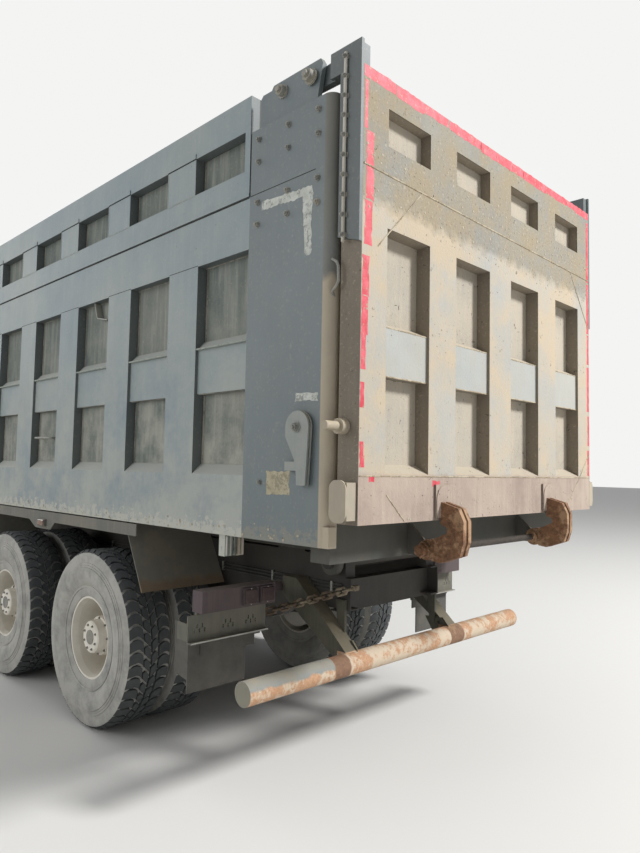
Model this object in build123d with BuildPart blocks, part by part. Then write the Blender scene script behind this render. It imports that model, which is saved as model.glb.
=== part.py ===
from build123d import *
import os
from math import cos, sin

# Heavy four-axle dump truck with a high-sided ribbed bed. Millimetres.
# X points forward, Y to the left and Z up from the ground, with the origin under the middle.

# Driving dimensions
bed_rear_x = -4900  # rear edge of the bed's side walls
bed_length = 7250
bed_half_width = 1210
side_bottom_z = 1331
side_top_z = 3581
side_thickness = 80
cab_gap = 730  # between bed and cab, where the hoist stands
cab_length = 2120
tyre_radius = 560
tyre_width = 315
overall_half_width = 1250
running_gap = 0.5  # round a shaft or pin
seat_gap = 0.3  # beside a part that it rests on
swing_gap = 8  # beside a part that moves past
bed_front_x = bed_rear_x + bed_length
cab_rear_x = bed_front_x + cab_gap
cab_front_x = cab_rear_x + cab_length
front_x = cab_front_x + 40  # front of the bumper
rear_axle_x = (bed_rear_x + 2055, bed_rear_x + 3505)
front_axle_x = (front_x - 3340, front_x - 1490)

# Frame
rail_outer_y = 430
rail_height = 300
rail_flange = 80
rail_wall = 8
rail_top_z = 1050
rail_rear_x = bed_rear_x + 500
rail_taper_x = (bed_rear_x + 900, bed_rear_x + 1100)  # where the rail's depth shrinks towards its end
rail_tail_height = 180
rail_front_x = front_x - 140
axle_top_z = 480
cab_pin_x = front_x - 190
cab_pin_z = 980
cab_pin_r = 20
cab_pin_y = 480
member_height = 180
member_depth = 80
member_x = (rail_rear_x + 120, rear_axle_x[0] - 555, rear_axle_x[0] + 725, rear_axle_x[1] + 795,
            rear_axle_x[1] + 2095,
            bed_front_x + 90)
tow_length = 130
tow_height = 96
tow_slot = 36
tow_root = 25  # solid part behind the slot
tow_bore_x = 70
tow_bore_r = 20.5
tow_z = 854

# Subframe, bed pivot and hoist
sub_height = 120
sub_width = 80
sub_wall = 8
sub_pad = 12
sub_front_x = bed_front_x + 130
pivot_x = bed_rear_x + 600
pivot_z = rail_top_z + 90
pivot_r = 35
hoist_x = bed_front_x + 480
hoist_z = 850
trunnion_r = 40
hoist_eye_x = bed_front_x + 430
hoist_eye_z = 2250

# Bed
cell_pitch = 726
cell_width = 440
cell_count = 9
cell_first_x = bed_rear_x + 527
cell_depth = 60
cell_bottom_z = 1636
seam_z = side_top_z - 537
cell_top_z = seam_z - 270
mid_rail_bottom_z = 2068
mid_rail_top_z = 2318
rail_window_z = (side_top_z - 390, side_top_z - 181)
floor_top_z = 1460
floor_plate = 8
floor_member_height = 120
post_top_z = side_top_z - 201
ear_thickness = 25
pillar_r = 50
head_thickness = 80
guard_lamp_x = bed_rear_x + 700

# Tailgate
gate_rear_x = bed_rear_x - 199
gate_half_width = 1172
gate_bottom_z = 1439
gate_drop = 123  # the tailgate's top below the sides' top
gate_top_z = side_top_z - gate_drop
gate_depth = 120
gate_sheet = 67
gate_pin_x = bed_rear_x + 105
gate_pin_z = side_top_z - 76
gate_pin_r = 20
hook_pin_x = bed_rear_x - 130
hook_pin_z = 1290
hook_pin_r = 18
hook_y = 550
hook_plate = 25
hook_plate_gap = 17
hook_reach = 141  # behind the tailgate
striker_x = gate_rear_x + 81
striker_z = 1860
guide_z = 1540

# Wheels
wheel_z = tyre_radius
rear_tyre_y = overall_half_width - tyre_width / 2
dual_spacing = 350
front_tyre_y = 1030
rim_radius = 267
rim_half_width = 108
rim_flange_radius = 300
hub_radius = 135
cap_radius = 108
drum_radius = 205
spindle_radius = 42
kingpin_y = 800
kingpin_r = 24

# Cab
cab_half_width = 1215
cab_bottom_z = 1180
cab_roof_z = 3150
cab_wall = 45
cab_corner_r = 110
door_rear_x = cab_rear_x + 480
door_front_x = cab_front_x - 480
tunnel_rear_x = cab_rear_x + 210
tunnel_front_x = cab_front_x - 280
tunnel_half = 380
door_hinge_x = door_front_x + 47
door_hinge_y = cab_half_width + 13
door_hinge_z = (1450, 1950)


def side_plane(y):
    """X-Z sketch plane at this Y, from which a positive extrude goes towards -Y."""
    return Plane.XZ.offset(-y)


def save(part, name):
    part.label = name
    export_step(part, f"parts/{name}.step")


os.makedirs("parts", exist_ok=True)

# Frame: a rail on each side, cross members between them and a towing jaw on each front end
rail_mid_z = rail_top_z - rail_height / 2
rail_inner_y = rail_outer_y - rail_wall
flange_mid_y = rail_outer_y - rail_flange / 2
member_mid_z = rail_mid_z + 40
with BuildPart() as rail:
    with BuildSketch(side_plane(rail_outer_y)):
        with BuildLine():
            Polyline((rail_rear_x, rail_top_z), (rail_front_x, rail_top_z), (rail_front_x, rail_top_z - rail_height),
                     (rail_taper_x[1], rail_top_z - rail_height), (rail_taper_x[0], rail_top_z - rail_tail_height),
                     (rail_rear_x, rail_top_z - rail_tail_height), (rail_rear_x, rail_top_z))
        make_face()
    extrude(amount=rail_flange)
    with BuildSketch(side_plane(rail_outer_y - rail_wall)):
        with BuildLine():
            Polyline((rail_rear_x - 1, rail_top_z - rail_wall), (rail_front_x + 1, rail_top_z - rail_wall),
                     (rail_front_x + 1, rail_top_z - rail_height + rail_wall),
                     (rail_taper_x[1] - 2, rail_top_z - rail_height + rail_wall),
                     (rail_taper_x[0] - 2, rail_top_z - rail_tail_height + rail_wall),
                     (rail_rear_x - 1, rail_top_z - rail_tail_height + rail_wall),
                     (rail_rear_x - 1, rail_top_z - rail_wall))
        make_face()
    extrude(amount=rail_flange, mode=Mode.SUBTRACT)
    # Bearing block for the hoist's trunnion, inside the rail
    with Locations((hoist_x, rail_inner_y - 55, hoist_z)):
        Box(170, 110, 130)
    with BuildSketch(Plane.XZ):
        with Locations((hoist_x, hoist_z)):
            Circle(trunnion_r + running_gap)
    extrude(amount=rail_inner_y, both=True, mode=Mode.SUBTRACT)
    # Pin that the cab tilts on, and the rest under the back of the cab
    with BuildSketch(side_plane(cab_pin_y + 30)):
        with Locations((cab_pin_x, cab_pin_z)):
            Circle(cab_pin_r)
    extrude(amount=cab_pin_y + 30 - rail_outer_y)
    with Locations((cab_rear_x + 120, flange_mid_y, (rail_top_z + cab_bottom_z - seat_gap) / 2)):
        Box(120, rail_flange, cab_bottom_z - seat_gap - rail_top_z)
with BuildPart() as member:
    with BuildSketch(Plane.XZ):
        with Locations((0, member_mid_z)):
            Rectangle(member_depth, member_height)
        with Locations((rail_wall, member_mid_z)):
            Rectangle(member_depth, member_height - 2 * rail_wall, mode=Mode.SUBTRACT)
    extrude(amount=rail_inner_y, both=True)
with BuildPart() as tow_jaw:
    with Locations((rail_front_x + tow_length / 2, flange_mid_y, tow_z)):
        Box(tow_length, rail_flange, tow_height)
    with Locations((rail_front_x + tow_length / 2 + tow_root, flange_mid_y, tow_z)):
        Box(tow_length, rail_flange, tow_slot, mode=Mode.SUBTRACT)
    with Locations((rail_front_x + tow_bore_x, flange_mid_y, tow_z)):
        Cylinder(tow_bore_r, tow_height, mode=Mode.SUBTRACT)
frame_solids = [rail.part, rail.part.mirror(Plane.XZ), tow_jaw.part, tow_jaw.part.mirror(Plane.XZ)]
frame_solids += [Pos(x, 0, 0) * member.part for x in member_x]
save(Compound(children=frame_solids), "frame")

# Subframe: two bearers on the rails, pads for the bed, the pivot shaft and the hoist's foot
sub_y = rail_outer_y - sub_width / 2
sub_mid_z = rail_top_z + sub_height / 2
sub_rear_x = pivot_x - 60
with BuildPart() as subframe:
    with BuildSketch(Plane.YZ.offset(sub_rear_x)):
        with Locations((sub_y, sub_mid_z)):
            Rectangle(sub_width, sub_height)
            Rectangle(sub_width - 2 * sub_wall, sub_height - 2 * sub_wall, mode=Mode.SUBTRACT)
    extrude(amount=sub_front_x - sub_rear_x)
    with Locations((pivot_x, sub_y, sub_mid_z)):
        Box(120, sub_width, sub_height)
    with Locations(*[(pivot_x + 400 + 1050 * k, sub_y, rail_top_z + sub_height + sub_pad / 2)
                     for k in range(7)]):
        Box(240, sub_width, sub_pad)
    mirror(about=Plane.XZ)
    with Locations(*[(x, 0, sub_mid_z) for x in (pivot_x + 160, rear_axle_x[1] - 205,
                                                 rear_axle_x[1] + 1795, bed_front_x - 150)]):
        Box(80, 2 * (rail_outer_y - sub_width), 80)
    with BuildSketch(Plane.XZ):
        with Locations((pivot_x, pivot_z)):
            Circle(pivot_r)
    extrude(amount=rail_outer_y + 95, both=True)
save(subframe.part, "subframe")

# Bumper with lamp recesses and the lower step on each side
bumper_top_z = 800
bumper_bottom_z = 420
step_front_x = front_x - 520
with BuildPart() as bumper:
    with BuildSketch(Plane.XY.offset(bumper_bottom_z)):
        with BuildLine():
            Polyline((front_x - 520, 1200), (front_x - 130, 1200), (front_x - 20, 1060), (front_x, 900))
            Line((front_x, 900), (front_x, 0))
            Line((front_x, 0), (front_x - 40, 0))
            Polyline((front_x - 40, 0), (front_x - 40, 880), (front_x - 60, 1030), (front_x - 160, 1160),
                     (front_x - 520, 1160), (front_x - 520, 1200))
        make_face()
    extrude(amount=bumper_top_z - bumper_bottom_z)
    with Locations((front_x - 20, 830, 600)):
        Box(200, 330, 170, mode=Mode.SUBTRACT)
    # Headlamp in its recess
    with Locations((front_x - 48, 830, 600)):
        Box(16, 370, 210)
    with Locations((front_x - 34, 755, 600), (front_x - 34, 905, 600)):
        Cylinder(68, 28, rotation=(0, 90, 0))
    # Steps below the door
    with Locations((step_front_x - 125, 1075, 480), (step_front_x - 125, 1075, 800)):
        Box(250, 250, 30)
    with Locations((step_front_x - 130, 1196, 780), (step_front_x - 130, 950, 780)):
        Box(280, 8, 720)
    mirror(about=Plane.XZ)
    with Locations((rail_front_x + 20, rail_outer_y + 20, 760), (rail_front_x + 20, -rail_outer_y - 20, 760)):
        Box(160, 40, 60)
save(bumper.part, "bumper")

# Engine, as one plain block between the rails
with BuildPart() as engine:
    with Locations((cab_rear_x + 1080, 0, 990)):
        Box(1300, 640, 860)
    with Locations((cab_rear_x + 700, 0, 860), (cab_rear_x + 1500, 0, 860)):
        Box(140, 2 * (rail_outer_y - rail_wall), 90)
save(engine.part, "engine")

# Gearbox, the long propeller shaft and the short one between the rear axles
gearbox_rear_x = hoist_x + 130
shaft_r = 50
nose_z = wheel_z + 130
with BuildPart() as driveline:
    with BuildSketch(Plane.YZ.offset(cab_rear_x + 430)):
        with Locations((0, 800)):
            Circle(210)
    with BuildSketch(Plane.YZ.offset(gearbox_rear_x)):
        with Locations((0, 750)):
            Circle(120)
    loft()
    for start_x, start_z, end_x, end_z in ((gearbox_rear_x, 665, rear_axle_x[1] + 190.3, nose_z),
                                           (rear_axle_x[1] - 151.3, nose_z + 20, rear_axle_x[0] + 191.3,
                                            nose_z)):
        shaft_start = Vector(start_x, 0, start_z)
        shaft_run = Vector(end_x, 0, end_z) - shaft_start
        with BuildSketch(Plane(origin=shaft_start, z_dir=shaft_run.normalized())):
            Circle(shaft_r)
        extrude(amount=shaft_run.length)
save(driveline.part, "driveline")

# Fuel tank on the left, hung on two straps from the rail
with BuildPart() as fuel_tank:
    with BuildSketch(Plane.YZ.offset(rear_axle_x[1] + 1295)):
        with Locations((810, 760)):
            RectangleRounded(600, 560, 90)
    extrude(amount=1150)
    for x in (rear_axle_x[1] + 1520, rear_axle_x[1] + 2120):
        with BuildSketch(Plane.YZ.offset(x)):
            with Locations((810, 760)):
                RectangleRounded(614, 574, 97)
        extrude(amount=50)
        with Locations((x + 25, 470, 760)):
            Box(60, 80, 320)
    with Locations((rear_axle_x[1] + 1820, 960, 1055)):
        Cylinder(45, 50)
save(fuel_tank.part, "fuel_tank")

# Battery box and air tanks on the right
with BuildPart() as battery_box:
    with Locations((rear_axle_x[1] + 2095, -800, 760)):
        Box(560, 560, 420)
    with Locations((rear_axle_x[1] + 2095, -475, 800)):
        Box(400, 90, 200)
    with BuildSketch(Plane.YZ.offset(rear_axle_x[1] + 1095)):
        with Locations((-640, 860), (-640, 600)):
            Circle(120)
    extrude(amount=660)
    with Locations((rear_axle_x[1] + 1235, -540, 730), (rear_axle_x[1] + 1615, -540, 730)):
        Box(12, 220, 500)
save(battery_box.part, "battery_box")

# Silencer under the cab's rear corner and its upright pipe, with the air intake beside it
with BuildPart() as exhaust:
    with BuildSketch(Plane.YZ.offset(cab_rear_x - 500)):
        with Locations((-700, 780)):
            RectangleRounded(420, 380, 120)
    extrude(amount=300)
    with Locations((cab_rear_x - 350, -475, 850)):
        Box(120, 90, 160)
save(exhaust.part, "exhaust")

# Front axle beams with an eye for the kingpin at each end
eye_radius = 58
with BuildPart() as front_axles:
    with BuildSketch(Plane.YZ.offset(-45)):
        with BuildLine():
            Polyline((0, 370), (520, 370), (660, 500), (kingpin_y, 500), (kingpin_y, 620), (640, 620),
                     (500, axle_top_z), (0, axle_top_z), (0, 370))
        make_face()
        mirror(about=Plane.YZ)
    extrude(amount=90)
    with Locations((0, kingpin_y, wheel_z), (0, -kingpin_y, wheel_z)):
        Cylinder(eye_radius, 120)
        Cylinder(kingpin_r + running_gap, 120, mode=Mode.SUBTRACT)
axle_pair = Compound(children=[Pos(x, 0, 0) * front_axles.part for x in front_axle_x])
save(axle_pair, "front_axles")

# Rear axle housings with spindles, and the balance beam's cross tube between them
spindle_tip_y = rear_tyre_y - dual_spacing / 2 + 120
drum_inner_y = rear_tyre_y - dual_spacing - 130
with BuildPart() as rear_axle:
    with BuildSketch(Plane.XZ.offset(-(drum_inner_y - 12))):
        RectangleRounded(150, 140, 20)
    extrude(amount=2 * (drum_inner_y - 12))
    with BuildSketch(Plane.YZ.offset(-150)):
        with Locations((0, 60)):
            Circle(140)
    with BuildSketch(Plane.YZ):
        Circle(215)
    with BuildSketch(Plane.YZ.offset(190)):
        with Locations((0, nose_z - wheel_z)):
            Circle(90)
    loft(ruled=True)
    with BuildSketch(Plane.XZ.offset(-spindle_tip_y)):
        Circle(spindle_radius)
    extrude(amount=2 * spindle_tip_y)
    with Locations((0, 505, 108), (0, -505, 108)):
        Box(130, 100, 76)
    # Brake chambers behind the axle
    with BuildSketch(Plane.YZ.offset(-270)):
        with Locations((490, 20), (-490, 20)):
            Circle(70)
    extrude(amount=130)
    with Locations((-107, 490, 20), (-107, -490, 20)):
        Box(70, 60, 60)
save(Compound(children=[Pos(x, 0, wheel_z) * rear_axle.part for x in rear_axle_x]), "rear_axles")

# Balanced rear springs: a leaf pack each side, clamped on the trunnion and resting on both axles
trunnion_x = (rear_axle_x[0] + rear_axle_x[1]) / 2
spring_y = 505
leaf_bottom_z = wheel_z + 146 + seat_gap
rear_leaf = 28
rear_leaf_table = ((820, 0), (700, 1), (560, 2), (420, 3))  # half length, leaf number from the bottom
rear_arch_r = 12000
seat_reach = (rear_axle_x[1] - rear_axle_x[0]) / 2 + 65  # outer edge of the axles' seats
leaf_middle_z = leaf_bottom_z + rear_arch_r - (rear_arch_r ** 2 - seat_reach ** 2) ** 0.5
front_leaf = 24
front_leaf_table = ((800, 3), (640, 2), (460, 1), (300, 0))
front_arch_r = 9000


def leaf(x, arch_z, low_r, high_r, half_length):
    """Face of one spring leaf between two arcs about (x, arch_z); negative radii turn its ends up."""
    turn = half_length / abs(low_r)
    low, high = [[(x + abs(r) * sin(a), arch_z + r * cos(a)) for a in (-turn, 0, turn)]
                 for r in (low_r, high_r)]
    return make_face([ThreePointArc(*low), Line(low[2], high[2]), ThreePointArc(*high),
                      Line(high[0], low[0])])


rear_leaves = [leaf(trunnion_x, leaf_middle_z - rear_arch_r, rear_arch_r + rear_leaf * k,
                    rear_arch_r + rear_leaf * (k + 1), half_length) for half_length, k in rear_leaf_table]
front_leaf_z = axle_top_z + seat_gap
front_leaves = [leaf(0, front_leaf_z + front_arch_r, front_leaf * k - front_arch_r,
                     front_leaf * (k + 1) - front_arch_r, half_length) for half_length, k in front_leaf_table]
with BuildPart() as rear_springs:
    with BuildSketch(side_plane(spring_y + 45)):
        add(rear_leaves)
        with Locations((trunnion_x, leaf_middle_z - 90)):
            Rectangle(220, 190)
        with Locations((trunnion_x, leaf_middle_z + 4 * rear_leaf + 12)):
            Rectangle(190, 26)
    extrude(amount=90)
    # U-bolts over the pack
    for x in (trunnion_x - 78, trunnion_x + 78):
        with Locations((x, spring_y + 57, leaf_middle_z + 24), (x, spring_y - 57, leaf_middle_z + 24)):
            Cylinder(11, 250)
        with Locations((x, spring_y, leaf_middle_z + 4 * rear_leaf + 34)):
            Box(22, 136, 20)
    mirror(about=Plane.XZ)
    with BuildSketch(Plane.XZ):
        with Locations((trunnion_x, leaf_bottom_z - 130)):
            Circle(55)
    extrude(amount=spring_y + 55, both=True)
    with BuildSketch(side_plane(rail_outer_y - 20)):
        Polygon((trunnion_x - 210, rail_top_z - rail_height), (trunnion_x - 80, wheel_z),
                (trunnion_x + 80, wheel_z), (trunnion_x + 210, rail_top_z - rail_height), align=None)
    extrude(amount=40)
    mirror(about=Plane.XZ)

# Front springs under the rails, with an eye hanger at each end
with BuildPart() as front_springs:
    with BuildSketch(side_plane(rail_outer_y)):
        add(front_leaves)
        hanger_bottom_z = axle_top_z + seat_gap + 72
        with Locations((-770, (hanger_bottom_z + rail_top_z - rail_height) / 2),
                       (770, (hanger_bottom_z + rail_top_z - rail_height) / 2)):
            Rectangle(60, rail_top_z - rail_height - hanger_bottom_z)
    extrude(amount=80)
    for x in (-55, 55):
        with Locations((x, rail_outer_y - 86, front_leaf_z + 50), (x, rail_outer_y + 6, front_leaf_z + 50)):
            Cylinder(9, 180)
    with Locations((0, rail_outer_y - 40, front_leaf_z + 4 * front_leaf + 9)):
        Box(140, 110, 20)
    mirror(about=Plane.XZ)
save(Compound(children=[rear_springs.part] + [Pos(x, 0, 0) * front_springs.part for x in front_axle_x]),
     "springs")

# Mudguards over the rear wheels, in flat sheets: top, slanted ends and the valance with its lamp
guard_outer_y = 1200
guard_inner_y = 600
guard_sheet = 8
guard_top_z = 1310
guard_foot_z = 928
guard_slant = 213
guard_front_x = rear_axle_x[1] + 760
guard_rear_x = bed_rear_x + 1668
guard_width = guard_outer_y - guard_inner_y
valance_z = (1250, 1322)
valance_rear_x = guard_rear_x - 133
hanger_x = (trunnion_x, guard_front_x - 100)
guard_top = Pos((guard_rear_x + guard_front_x) / 2, guard_outer_y - guard_width / 2,
                guard_top_z - guard_sheet / 2)
guard_solids = [guard_top * Box(guard_front_x - guard_rear_x, guard_width, guard_sheet)]
for x in hanger_x:
    guard_solids.append(Pos(x, (rail_outer_y + guard_inner_y) / 2 + 20, guard_top_z - guard_sheet - 6)
                        * Box(60, guard_inner_y - rail_outer_y + 40, 12))
    guard_solids.append(Pos(x, rail_outer_y + 4, guard_top_z - 96) * Box(60, 8, 152))
with BuildPart() as guard_ends:
    with BuildSketch(side_plane(guard_outer_y)):
        for x, way in ((guard_rear_x, -1), (guard_front_x, 1)):
            Polygon((x, guard_top_z), (x, guard_top_z - guard_sheet),
                    (x + way * (guard_slant - 6), guard_foot_z),
                    (x + way * (guard_slant + 4), guard_foot_z), align=None)
    extrude(amount=guard_width)
with BuildPart() as valance:
    with BuildSketch(side_plane(guard_outer_y + 6)):
        Polygon((valance_rear_x, valance_z[0]), (valance_rear_x, valance_z[1]), (guard_front_x, valance_z[1]),
                (guard_front_x, valance_z[0]), (guard_rear_x + 1452, valance_z[0]),
                (guard_rear_x + 1332, 1195),
                (guard_rear_x + 1072, 1195), (guard_rear_x + 1002, valance_z[0]), align=None)
    extrude(amount=6)
    # Side marker lamp
    with Locations((guard_rear_x + 1192, guard_outer_y + 16, 1240)):
        Box(110, 20, 50)
# Guards of five sheets over the second front axle, on brackets from the rails
arch_inner_y = 870
arch_width = 325
arch_clear_r = 692  # clears the steered tyre
arch_first = 36  # degrees up from level
arch_step = 21.6
arch_rings = [[Vector(r, 0).rotate(Axis.Z, arch_first + arch_step * k) for k in range(6)]
              for r in (arch_clear_r + 12.5, arch_clear_r + 12.5 + guard_sheet)]
for k in range(5):
    with BuildPart() as arch_sheet:
        with BuildSketch(side_plane(arch_inner_y + arch_width)):
            Polygon(*[(front_axle_x[0] + arch_rings[ring][i].X, wheel_z + arch_rings[ring][i].Y)
                      for ring, i in ((0, k), (1, k), (1, k + 1), (0, k + 1))], align=None)
        extrude(amount=arch_width)
    guard_solids.append(arch_sheet.part)
arch_top_z = wheel_z + arch_clear_r
guard_solids.append(Pos(front_axle_x[0], (rail_outer_y + arch_inner_y) / 2 + 15, arch_top_z - guard_sheet / 2)
                    * Box(50, arch_inner_y - rail_outer_y + 30, guard_sheet))
guard_solids.append(Pos(front_axle_x[0], rail_outer_y + 4, arch_top_z - guard_sheet - 150) * Box(50, 8, 300))
guard_solids += [guard_ends.part, valance.part]
guard_solids += [solid.mirror(Plane.XZ) for solid in guard_solids]
save(Compound(children=guard_solids), "mudguards")

# Rear underrun tube on two slanted channel struts
bar_x = bed_rear_x + 435
bar_z = 607
bar_r = 60
bar_half = 1250
strut_y = 485
strut_top_x = bed_rear_x + 900
strut_top_z = 985
strut_wall = 8
with BuildPart() as underrun_bar:
    with BuildSketch(side_plane(bar_half)):
        with Locations((bar_x, bar_z)):
            Circle(bar_r)
    extrude(amount=2 * bar_half)
    with BuildSketch(side_plane(strut_y + 50)):
        Polygon((bar_x - 10, bar_z + 50), (bar_x + 60, bar_z), (strut_top_x + 70, strut_top_z - 60),
                (strut_top_x - 60, strut_top_z + 40), align=None)
    extrude(amount=strut_wall)
    with BuildSketch(side_plane(strut_y + 50)):
        Polygon((bar_x - 16, bar_z + 50), (bar_x - 10, bar_z + 44), (strut_top_x - 54, strut_top_z + 34),
                (strut_top_x - 60, strut_top_z + 40), align=None)
    extrude(amount=100)
    with Locations((strut_top_x, (rail_outer_y + strut_y + 50) / 2, strut_top_z - 10)):
        Box(120, strut_y + 50 - rail_outer_y, 100)
    # Gusset with its bolt hole, and the brace up to the rail
    with BuildSketch(side_plane(strut_y - 35)):
        Polygon((bar_x - 30, bar_z + 45), (bar_x + 30, bar_z + 110), (bar_x + 170, bar_z + 100),
                (bar_x + 110, bar_z + 10),
                (bar_x, bar_z + 10), align=None)
        with Locations((bar_x + 60, bar_z + 72)):
            Circle(11, mode=Mode.SUBTRACT)
    extrude(amount=12)
    with BuildSketch(side_plane(strut_y - 35)):
        Polygon((bar_x + 90, bar_z + 60), (bar_x + 130, bar_z + 60), (bar_x + 160, rail_top_z - 120),
                (bar_x + 90, rail_top_z - 120), align=None)
    extrude(amount=strut_y - 35 - rail_outer_y - seat_gap)
    mirror(about=Plane.XZ)
save(underrun_bar.part, "underrun_bar")

# Rear lamp carriers: a channel with its lamps over a perforated plate, a bar and the mud flaps
lamp_x = bed_rear_x + 840
lamp_outer_y = 1205
lamp_inner_y = 700
lamp_mid_y = (lamp_outer_y + lamp_inner_y) / 2
lamp_width = lamp_outer_y - lamp_inner_y
lamp_box_z = (905, 1020)
plate_z = (742, 885)
hole_r = 5
with BuildPart() as lamp_channel:
    with Locations((lamp_x + 45, lamp_mid_y, sum(lamp_box_z) / 2)):
        Box(90, lamp_width, lamp_box_z[1] - lamp_box_z[0])
    with Locations((lamp_x + 51, lamp_mid_y, sum(lamp_box_z) / 2)):
        Box(90, lamp_width, lamp_box_z[1] - lamp_box_z[0] - 12, mode=Mode.SUBTRACT)
    with Locations((lamp_x + 45, lamp_outer_y - 3, sum(lamp_box_z) / 2)):
        Box(90, 6, lamp_box_z[1] - lamp_box_z[0])
    # Two flat lamps on the channel's face
    with Locations((lamp_x - 8, lamp_inner_y + 70, sum(lamp_box_z) / 2),
                   (lamp_x - 8, lamp_inner_y + 190, sum(lamp_box_z) / 2)):
        Box(16, 100, 90)
    # Arm to the rail, and the hanger for the plates below
    with Locations((lamp_x + 144, (lamp_inner_y + rail_outer_y) / 2 + 60, 960)):
        Box(40, lamp_inner_y - rail_outer_y + 120, 50)
    with Locations((lamp_x + 112, lamp_inner_y + 80, 960)):
        Box(44, 80, 50)
    with Locations((lamp_x + 100, lamp_mid_y, 840)):
        Box(20, lamp_width - 60, 240)
with BuildPart() as lamp_plate:
    with Locations((lamp_x + 86, lamp_mid_y + 15, sum(plate_z) / 2)):
        Box(8, lamp_width + 30, plate_z[1] - plate_z[0])
    with Locations((lamp_x + 72, lamp_mid_y + 15, plate_z[0] + 3)):
        Box(36, lamp_width + 30, 6)
    with BuildSketch(Plane.YZ.offset(lamp_x + 82)):
        for y in (lamp_inner_y + 110, lamp_inner_y + 270, lamp_outer_y - 45):
            for across, up in ((-34, -18), (-17, 18), (0, -18), (17, 18), (34, -18)):
                with Locations((y + across, sum(plate_z) / 2 + up), (y + across, sum(plate_z) / 2 + up / 3)):
                    Circle(hole_r)
    extrude(amount=8, mode=Mode.SUBTRACT)
with BuildPart() as lamp_bar:
    with Locations((lamp_x + 114, lamp_mid_y - 10, 705)):
        Box(8, lamp_width - 130, 95)
with BuildPart() as mud_flap:
    with Locations((lamp_x + 122, 1010, 615)):
        Box(8, 390, 290)
    with BuildSketch(side_plane(lamp_outer_y)):
        Polygon((lamp_x + 118, 540), (lamp_x + 118, 830), (lamp_x + 250, 835), (lamp_x + 240, 560),
                align=None)
    extrude(amount=6)
lamp_solids = [lamp_channel.part, lamp_plate.part, lamp_bar.part, mud_flap.part]
lamp_solids += [solid.mirror(Plane.XZ) for solid in lamp_solids]
save(Compound(children=lamp_solids), "rear_lamps")

# Chain slung from the left lamp carrier to the rail: links of six-sided wire, each turned by a quarter
wire_r = 8
wire_flat = wire_r * 0.866  # from the wire's middle to its flats
link_half = 17  # middle of the wire from the link's long axis
link_end_half = 9
link_inner = 46
link_gap = 0.3
link_step = link_inner - link_gap
link_end = link_inner / 2 + wire_flat
link_straight = link_end - (link_half - link_end_half)
with BuildPart() as link:
    with BuildLine(Plane.XY) as link_line:
        Polyline((0, link_half), (link_straight, link_half), (link_end, link_end_half),
                 (link_end, -link_end_half),
                 (link_straight, -link_half), (-link_straight, -link_half), (-link_end, -link_end_half),
                 (-link_end, link_end_half), (-link_straight, link_half), (0, link_half))
    with BuildSketch(Plane(origin=(0, link_half, 0), x_dir=(0, 1, 0), z_dir=(1, 0, 0))):
        RegularPolygon(wire_r, 6, rotation=30)
    sweep(path=link_line.wires()[0], transition=Transition.RIGHT)
lug = 28
link_count = 12
chain_length = (link_count - 1) * link_step + 2 * (link_end + 3)
chain_start = Vector(lamp_x + 102, lamp_inner_y - 25, 830)
chain_y_run = rail_outer_y + 30 - chain_start.Y
chain_z_run = 180
chain_x_run = -(chain_length ** 2 - chain_y_run ** 2 - chain_z_run ** 2) ** 0.5
chain_run = Vector(chain_x_run, chain_y_run, chain_z_run)
chain_way = chain_run.normalized()
chain_plane = Plane(origin=chain_start + chain_way * (link_end + 3), x_dir=chain_way,
                    z_dir=chain_way.cross(Vector(0, 0, 1)))
chain_links = [chain_plane.location * Pos(link_step * k, 0, 0) * Rot(90 * (k % 2), 0, 0) * link.part
               for k in range(link_count)]
chain_end = chain_start + chain_run
start_lug = Pos(chain_start.X, lamp_inner_y - 2.5, chain_start.Z) * Box(20, 65, lug)
end_lug = Pos(chain_end.X, rail_outer_y + 20, chain_end.Z) * Box(lug, 40, lug)
chain_solids = [chain_links[0] + start_lug] + chain_links[1:-1] + [chain_links[-1] + end_lug]
save(Compound(children=chain_solids), "rear_chain")

# Tyres
tyre_half = tyre_width / 2
tyre_section = ((107, rim_radius + 0.3), (107, 303), (126, 312), (tyre_half, 400), (150, 505),
                (122, tyre_radius),
                (-122, tyre_radius), (-150, 505), (-tyre_half, 400), (-126, 312), (-107, 303),
                (-107, rim_radius + 0.3))


def tyre(centres):
    """Tyres of one wheel body, round the Y axis, at these Y places."""
    with BuildPart() as made:
        with BuildSketch(Plane.YZ):
            for centre in centres:
                Polygon(*[(centre + a, r) for a, r in tyre_section], align=None)
        revolve(axis=Axis.Y)
    return made.part


def rim_section(centre, side):
    """Rim and dished disc in one outline; side is +1 where the disc bulges towards +Y."""
    seat = rim_half_width + 14
    outline = ((-seat, rim_flange_radius), (-seat, rim_radius - 20), (-80, 240), (100, 240), (164, 205),
               (164, 100), (175, 100), (175, 210), (seat, 243), (seat, rim_flange_radius),
               (rim_half_width, rim_flange_radius), (rim_half_width, rim_radius),
               (-rim_half_width, rim_radius),
               (-rim_half_width, rim_flange_radius))
    return [(centre + side * a, r) for a, r in outline]


def rear_wheel():
    outer = rear_tyre_y
    inner = rear_tyre_y - dual_spacing
    bore = spindle_radius + running_gap
    middle = (outer + inner) / 2
    with BuildPart() as made:
        with BuildSketch(Plane.YZ):
            Polygon(*rim_section(outer, -1), align=None)
            Polygon(*rim_section(inner, 1), align=None)
            Polygon((drum_inner_y, bore), (drum_inner_y, drum_radius), (middle - 60, drum_radius),
                    (middle - 40, 170), (middle + 24, 170), (middle + 24, hub_radius),
                    (outer + 40, hub_radius - 10),
                    (outer + 54, cap_radius + 14), (outer + 54, cap_radius), (outer + 108, cap_radius - 6),
                    (outer + 116, cap_radius - 16), (outer + 116, 0), (spindle_tip_y + 2, 0),
                    (spindle_tip_y + 2, bore), align=None)
        revolve(axis=Axis.Y)
    return made.part


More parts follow.
